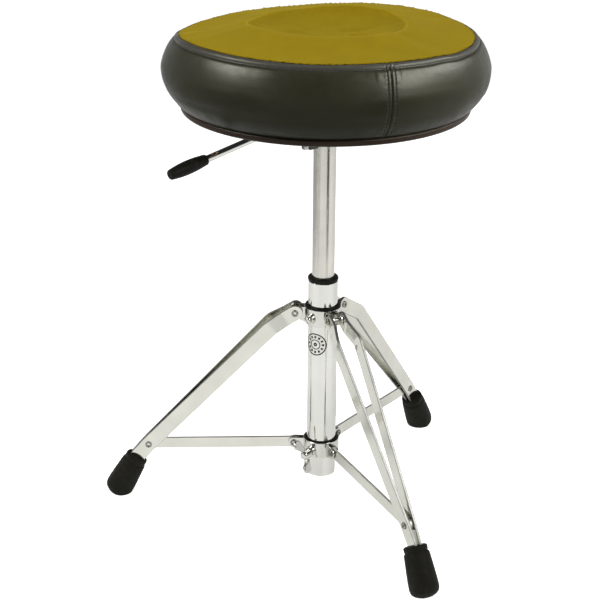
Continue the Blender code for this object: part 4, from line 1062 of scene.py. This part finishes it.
def simulate_core():
    """Inflate the foam against its pinned seams; returns the object, its rest points and their moves."""
    inset, lowest = 4.6 * MM, 490.5 * MM
    smooth = spline_through(mm(TOP_POINTS + SIDE_POINTS), 3)
    inner = [Vector((max(p.x, 0.0), p.y)) for p in offset(smooth, inset) if p.y > lowest]
    inner[0].x = 0.0
    profile = inner + [Vector(p) for p in mm([(152.0, 489.2), (0.0, 489.2)])]
    core = revolve("seat_cushion", profile, 96, POST)
    remesh = core.modifiers.new("even", "REMESH")
    remesh.mode = "VOXEL"
    remesh.voxel_size = 5.5 * MM
    apply_modifiers(core)
    rest = np.empty(len(core.data.vertices) * 3)
    core.data.vertices.foreach_get("co", rest)
    rest = rest.reshape(-1, 3)
    moves = inflate(core, rest)
    settled = rest + moves
    for index, (x, y, z) in enumerate(rest):
        settled[index, 2] += uneven(math.atan2(y, x - POST_X), math.hypot(x - POST_X, y), z)
    core.data.vertices.foreach_set("co", settled.ravel())
    core.data.update()
    soften = core.modifiers.new("soften", "SUBSURF")
    soften.levels = soften.render_levels = 1
    apply_modifiers(core)
    shade(core.data, 60.0)
    return core, rest, moves


def inflate(core, rest):
    """Run the cloth solver on the core, held at its bottom, its seam ring and its middle."""
    group = core.vertex_groups.new(name="pinned")
    for index, (x, y, z) in enumerate(rest):
        radius = np.hypot(x - POST_X, y)
        if z < 494.0 * MM:
            group.add([index], 1.0, "REPLACE")
        elif abs(radius - 157.0 * MM) < 4.0 * MM and z > 540.0 * MM:
            group.add([index], 0.9, "REPLACE")
        elif radius < 26.0 * MM and z > 520.0 * MM:
            group.add([index], 0.6, "REPLACE")
    cloth = core.modifiers.new("air", "CLOTH")
    settings = cloth.settings
    settings.quality = 5
    settings.mass = 0.3
    settings.use_pressure = True
    settings.uniform_pressure_force = 4.0
    settings.vertex_group_mass = "pinned"
    settings.effector_weights.gravity = 0.0
    settings.tension_stiffness = settings.compression_stiffness = 12.0
    settings.bending_stiffness = 0.4
    first_frame, last_frame, cap = 1, 20, 4.0 * MM
    cloth.point_cache.frame_start, cloth.point_cache.frame_end = first_frame, last_frame
    for step in range(first_frame, last_frame + 1):
        bpy.context.scene.frame_set(step)
    evaluated = core.evaluated_get(bpy.context.evaluated_depsgraph_get())
    moved = np.empty(len(rest) * 3)
    evaluated.data.vertices.foreach_get("co", moved)
    core.modifiers.clear()
    bpy.context.scene.frame_set(first_frame)
    moves = moved.reshape(-1, 3) - rest
    length = np.linalg.norm(moves, axis=1, keepdims=True)
    return moves * np.minimum(1.0, cap / np.maximum(length, 1e-9))


def offset(points, distance):
    """Move an outline that runs from the top's middle outwards and down, to its inner side."""
    result = []
    for i, here in enumerate(points):
        along = (points[min(i + 1, len(points) - 1)] - points[max(i - 1, 0)]).normalized()
        result.append(here + Vector((along.y, -along.x)) * distance)
    return result


def seat_angles(base_count, seams, half_width, step):
    """Azimuths round the seat, closer together at the upright seams."""
    angles = [TAU * i / base_count for i in range(base_count)]
    angles = [a for a in angles if all(abs(turn_between(a, s)) > half_width for s in seams)]
    for seam in seams:
        count = int(2.0 * half_width / step)
        angles += [(seam - half_width + step * (i + 0.5)) % TAU for i in range(count)]
    return sorted(angles)


def turn_between(a, b):
    """Signed angle from b to a."""
    return (a - b + math.pi) % TAU - math.pi


def noise_round(a, waves, level):
    """Noise from -1 to 1 at an azimuth; the waves set how fine it is and the level picks another pattern."""
    return mnoise.noise(Vector((math.cos(a) * waves, math.sin(a) * waves, level)))


def bell(distance, width):
    """1 at no distance, falling off smoothly over a width in millimetres."""
    return math.exp(-(distance / (width * MM)) ** 2)


def tent(distance, width):
    """1 at no distance, falling evenly to 0 at a width in millimetres."""
    return max(0.0, 1.0 - abs(distance) / (width * MM))


class Settling:
    """How the finished cushion departs from a true turned shape."""

    def __init__(self, rest, moves):
        self.moves = moves
        self.tree = kdtree.KDTree(len(rest))
        for index, point in enumerate(rest):
            self.tree.insert(point, index)
        self.tree.balance()

    def field(self, rings, angles):
        """Radial and vertical moves for (radius, height) rings, with their mean round the seat removed."""
        result = np.zeros((len(rings), len(angles), 2))
        if not self.moves.any():
            return result
        for row, (radius, height) in enumerate(rings):
            for column, a in enumerate(angles):
                c, s = math.cos(a), math.sin(a)
                total, weight = np.zeros(3), 0.0
                for _, index, distance in self.tree.find_n((POST_X + radius * c, radius * s, height), 5):
                    share = 1.0 / (distance + 2.0 * MM)
                    total += self.moves[index] * share
                    weight += share
                move = total / weight
                result[row, column] = (move[0] * c + move[1] * s, move[2])
        result -= result.mean(axis=1, keepdims=True)
        return result


# How far the filling stands proud, in millimetres, at azimuths in degrees
SAG = ((0, -2.3), (15, -2.1), (30, -1.4), (45, 0.6), (60, 0.9), (75, 0.0), (90, -2.0), (110, -4.4),
       (130, -5.7), (150, -6.9), (165, -6.9), (180, -4.1), (195, 0.7), (210, 2.7), (225, 3.3), (250, 3.0),
       (270, 2.1), (300, 1.9), (315, 1.1), (330, -1.5), (345, -2.1), (360, -2.3))


def uneven(a, radius, height):
    """Uneven filling: how far the upper half of the cushion stands above its true shape."""
    if height < 500.0 * MM:
        return 0.0
    full_from, shoulder = 95.0 * MM, 158.0 * MM
    reach = min(1.0, radius / full_from) ** 2
    if radius > shoulder:
        reach *= tent(radius - shoulder, 28.0)
    turn = math.degrees(a) % 360.0
    for (start, low), (end, high) in zip(SAG, SAG[1:]):
        if start <= turn <= end:
            share = (turn - start) / (end - start)
            share *= share * (3.0 - 2.0 * share)
            break
    ripple = noise_round(a, 2.2, radius * 14.0) * 0.5
    return (low + (high - low) * share + ripple) * reach * MM


def skin(name, outline, angles, thickness, settling, shape_extra):
    """A closed cover: its outer surface along the outline and its inner surface one thickness in."""
    inner = [Vector((max(0.0, p.x), p.y)) for p in offset(outline, thickness)]
    poled = outline[0].x < 1e-7
    if poled:
        inner[0].x = 0.0
    field = settling.field([(p.x, p.y) for p in outline], angles)
    rings = []
    for index, point in [*enumerate(outline), *reversed(list(enumerate(inner)))]:
        if point.x < 1e-7:
            rings.append([(POST_X, 0.0, point.y)])
            continue
        along = (outline[min(index + 1, len(outline) - 1)] - outline[max(index - 1, 0)]).normalized()
        out = Vector((-along.y, along.x))
        radius, height = outline[index]
        ring = []
        for column, a in enumerate(angles):
            push = shape_extra(a, radius, height)
            r = point.x + out.x * push + field[index, column, 0]
            z = point.y + out.y * push + field[index, column, 1] + uneven(a, radius, height)
            ring.append((POST_X + r * math.cos(a), r * math.sin(a), z))
        rings.append(ring)
    return make(name, *loft(rings, closed=not poled), 50.0)


def velour_extra(a, radius, _height):
    """The velour's cut edge waves a little and its field shows faint draw lines from the seam."""
    cut = noise_round(a, 56.0, 4.0) * 2.8
    draw = noise_round(a, 11.0, 9.0) * 0.45
    return (cut * tent(radius - SEAM_RADIUS, 3.0) + draw * tent(radius - 146.0 * MM, 14.0)) * MM


def seam_azimuth(seam, height):
    """The upright seams lean a little, more so above their middle."""
    middle = 520.0 * MM
    above, below = max(0.0, height - middle), max(0.0, middle - height)
    return seam + math.radians(28.0 * above + 8.0 * below)


def vinyl_extra(a, radius, height):
    """Seam grooves, the stitched ring, puckers and soft draw lines in the bolster."""
    push = 0.0
    for seam in SIDE_SEAMS:
        away = abs(turn_between(a, seam_azimuth(seam, height))) * BOLSTER_RADIUS
        if height > CREASE_HEIGHT and away < 14.0 * MM:
            push -= 1.1 * bell(away, 0.75)
            push -= 0.40 * bell(away - SEAM_MARGIN, 0.6)
            push += 0.14 * bell(away - 2.2 * MM, 1.0)
            pucker = math.sin(height * 1450.0 + 1.3 * math.sin(height * 310.0))
            push += 0.10 * pucker * bell(away - 6.0 * MM, 3.0)
    if height > 540.0 * MM:
        push -= 1.0 * bell(radius - STITCH_RADIUS, 0.8)
        push += 0.26 * noise_round(a, 34.0, 1.0) * bell(radius - 166.0 * MM, 4.0)
    if CREASE_HEIGHT + 4.0 * MM < height < 548.0 * MM:
        push += 0.55 * noise_round(a, 6.0, height * 12.0)
    push += 0.45 * noise_round(a, 20.0, 6.0) * bell(height - 489.0 * MM, 5.0)
    return push * MM


def vinyl_outline():
    """The bolster from under the velour's edge, over the welt, down to the crease and under the board."""
    welt = mm([(150.5, 553.9), (153.5, 553.5), (155.6, 553.6), (157.8, 554.0), (159.8, 553.0),
               (161.2, 551.4)])
    side = spline_through(mm(SIDE_POINTS), 6)
    rim = mm([(155.4, 481.0), (154.0, 480.3), (155.2, 479.5), (155.7, 478.6), (155.6, 476.4), (155.0, 474.0),
              (153.4, 473.0), (149.0, 473.0), (141.0, 473.0)])
    return spline_through(welt, 3)[:-1] + side + rounded([side[-1]] + rim, 0.8 * MM, 2)[1:]


def stitch(middle, along, out, length):
    """One short rounded stitch that runs along a direction and stands out of the cover."""
    side = along.cross(out).normalized()
    rings = []
    for share, size, sink in ((-0.5, 0.35, -0.30), (-0.36, 0.9, 0.04), (0.0, 1.0, 0.20), (0.36, 0.9, 0.04),
                              (0.5, 0.35, -0.30)):
        centre = middle + along * length * share + out * sink * MM
        rings.append([centre + (side * x + out * y) * 0.46 * MM * size for x, y in circle(0.0, 0.0, 1.0, 6)])
    return loft(rings, capped=True)


def build_stitches(vinyl):
    """Thread along both sides of the upright seams and round the top seam, laid on the finished cover."""
    cover = BVHTree.FromPolygons([v.co.copy() for v in vinyl.data.vertices],
                                 [tuple(p.vertices) for p in vinyl.data.polygons])

    def on_cover(a, radius, height):
        height += uneven(a, radius, height)
        hit, normal, _, _ = cover.find_nearest((POST_X + radius * math.cos(a), radius * math.sin(a), height))
        return hit, normal

    run = [p for p in vinyl_outline() if 488.0 * MM < p.y < 552.5 * MM and p.x > 157.0 * MM]
    lengths = [0.0]
    for first, second in zip(run, run[1:]):
        lengths.append(lengths[-1] + (second - first).length)

    def on_seam(seam, sign, along):
        row = min(sum(value <= along for value in lengths) - 1, len(run) - 2)
        point = run[row].lerp(run[row + 1], (along - lengths[row]) / (lengths[row + 1] - lengths[row]))
        return on_cover(seam_azimuth(seam, point.y) + sign * SEAM_MARGIN / BOLSTER_RADIUS, point.x, point.y)

    stitches = []
    pitch = 3.9 * MM
    for seam in SIDE_SEAMS:
        for sign in (-1.0, 1.0):
            for number in range(int(lengths[-1] / pitch)):
                along = pitch * (number + 0.5)
                hit, normal = on_seam(seam, sign, along)
                ahead, _ = on_seam(seam, sign, along + 0.8 * MM)
                stitches.append(stitch(hit, (ahead - hit).normalized(), normal, 2.9 * MM))
    count = 240
    for number in range(count):
        a = TAU * number / count
        hit, normal = on_cover(a, STITCH_RADIUS, 549.9 * MM)
        around = Vector((-math.sin(a), math.cos(a), 0.0))
        stitches.append(stitch(hit, (around - normal * around.dot(normal)).normalized(), normal, 3.1 * MM))
    piece(make("seat_stitching", *gather(stitches), 60.0), "seat", THREAD, "vinyl")


def staple(number, count):
    """One of the staples that hold the vinyl under the board, a little out of line."""
    a = TAU * number / count + 0.02 * math.sin(number * 2.3)
    radius = (145.0 + 1.2 * math.sin(number * 1.7)) * MM
    turn = a + math.pi / 2.0 + 0.25 * math.sin(number * 3.1)
    along = Vector((math.cos(turn), math.sin(turn), 0.0))
    side = Vector((-along.y, along.x, 0.0))
    middle = Vector((POST_X + radius * math.cos(a), radius * math.sin(a), RIM_BOTTOM - 0.25 * MM))
    half_width, wire, up = 0.35, 0.32, Vector((0.0, 0.0, 1.0))
    rings = []
    for end, level, inward in ((-5.0, 1.2, along), (-5.0, 0.0, along), (-4.6, -0.3, up), (4.6, -0.3, up),
                               (5.0, 0.0, -along), (5.0, 1.2, -along)):
        start = middle + along * end * MM
        rings.append([start + side * share * MM + up * level * MM + inward * depth * MM
                      for share, depth in ((-half_width, 0.0), (half_width, 0.0), (half_width, wire),
                                           (-half_width, wire))])
    return loft(rings, capped=True)


def build_underside():
    """Dust cover under the board and the staples that hold the vinyl there."""
    low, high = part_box("dust_cover")
    radii = (92.0, 100.0, 115.0, 130.0, 138.0)
    upper, under = [(r, high[2], 0.0) for r in radii], [(r, low[2], 0.25) for r in reversed(radii)]
    rings = []
    for r, level, sag in upper + under:
        around = circle(POST_X, 0.0, r * MM, 144)
        rings.append([(x, y, level + noise_round(TAU * i / 144, 5.0, r * 0.05) * sag * MM)
                      for i, (x, y) in enumerate(around)])
    piece(make("board_lining", *loft(rings, closed=True)), "seat", LINING, "lining", "dust_cover")
    staples = gather(staple(number, 48) for number in range(48))
    piece(make("cover_staples", *staples), "seat", ZINC, "steel")


def build_seat():
    """Cushion, velour top, vinyl bolster, their stitching and the underside."""
    core, rest, moves = simulate_core()
    piece(core, "seat", FOAM, "foam", "seat_foam")
    settling = Settling(rest, moves)

    top = spline_through(mm(TOP_POINTS), 5) + [Vector((155.7 * MM, 554.3 * MM))]
    angles = seat_angles(720, (), 0.0, 1.0)
    velour = skin("seat_top_velour", top, angles, COVER_THICKNESS, settling, velour_extra)
    piece(velour, "seat", VELOUR, "velour", "top_panel")

    angles = seat_angles(256, SIDE_SEAMS, math.radians(5.5), math.radians(0.16))
    vinyl = skin("seat_side_vinyl", vinyl_outline(), angles, COVER_THICKNESS, settling, vinyl_extra)
    piece(vinyl, "seat", VINYL, "vinyl", "side_band")

    area_light("gleam_left", 197.0, 38.0, 1.9, (0.9, 0.5), 50.0, only_on=vinyl)
    area_light("gleam_right", 352.0, 35.0, 1.9, (2.3, 0.6), 112.0, only_on=vinyl)
    build_stitches(vinyl)
    build_underside()


def paint_frame_nodes():
    """Materials for the CAD nodes that stay: the board and the parts inside the tubes and the hub."""
    zinc_plated = ("bottom_plug", "rod_clip", "thrust_bearing", "valve_body", "release_pin", "lever_pin")
    finishes = {PLYWOOD: ("seat_board",), CHROME: ("piston_rod",), BLACK_PLASTIC: ("piston", "tube_gland"),
                ZINC: zinc_plated}
    for material, names in finishes.items():
        for name in names:
            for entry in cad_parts[name].material_slots:
                entry.material = material


place_camera()
build_studio()
build_post()
build_brackets()
for leg_side, leg_azimuth in LEG_AZIMUTHS.items():
    build_leg(leg_side, leg_azimuth)
    build_brace(leg_side, leg_azimuth)
build_lever()
build_hub()
build_seat()
paint_frame_nodes()
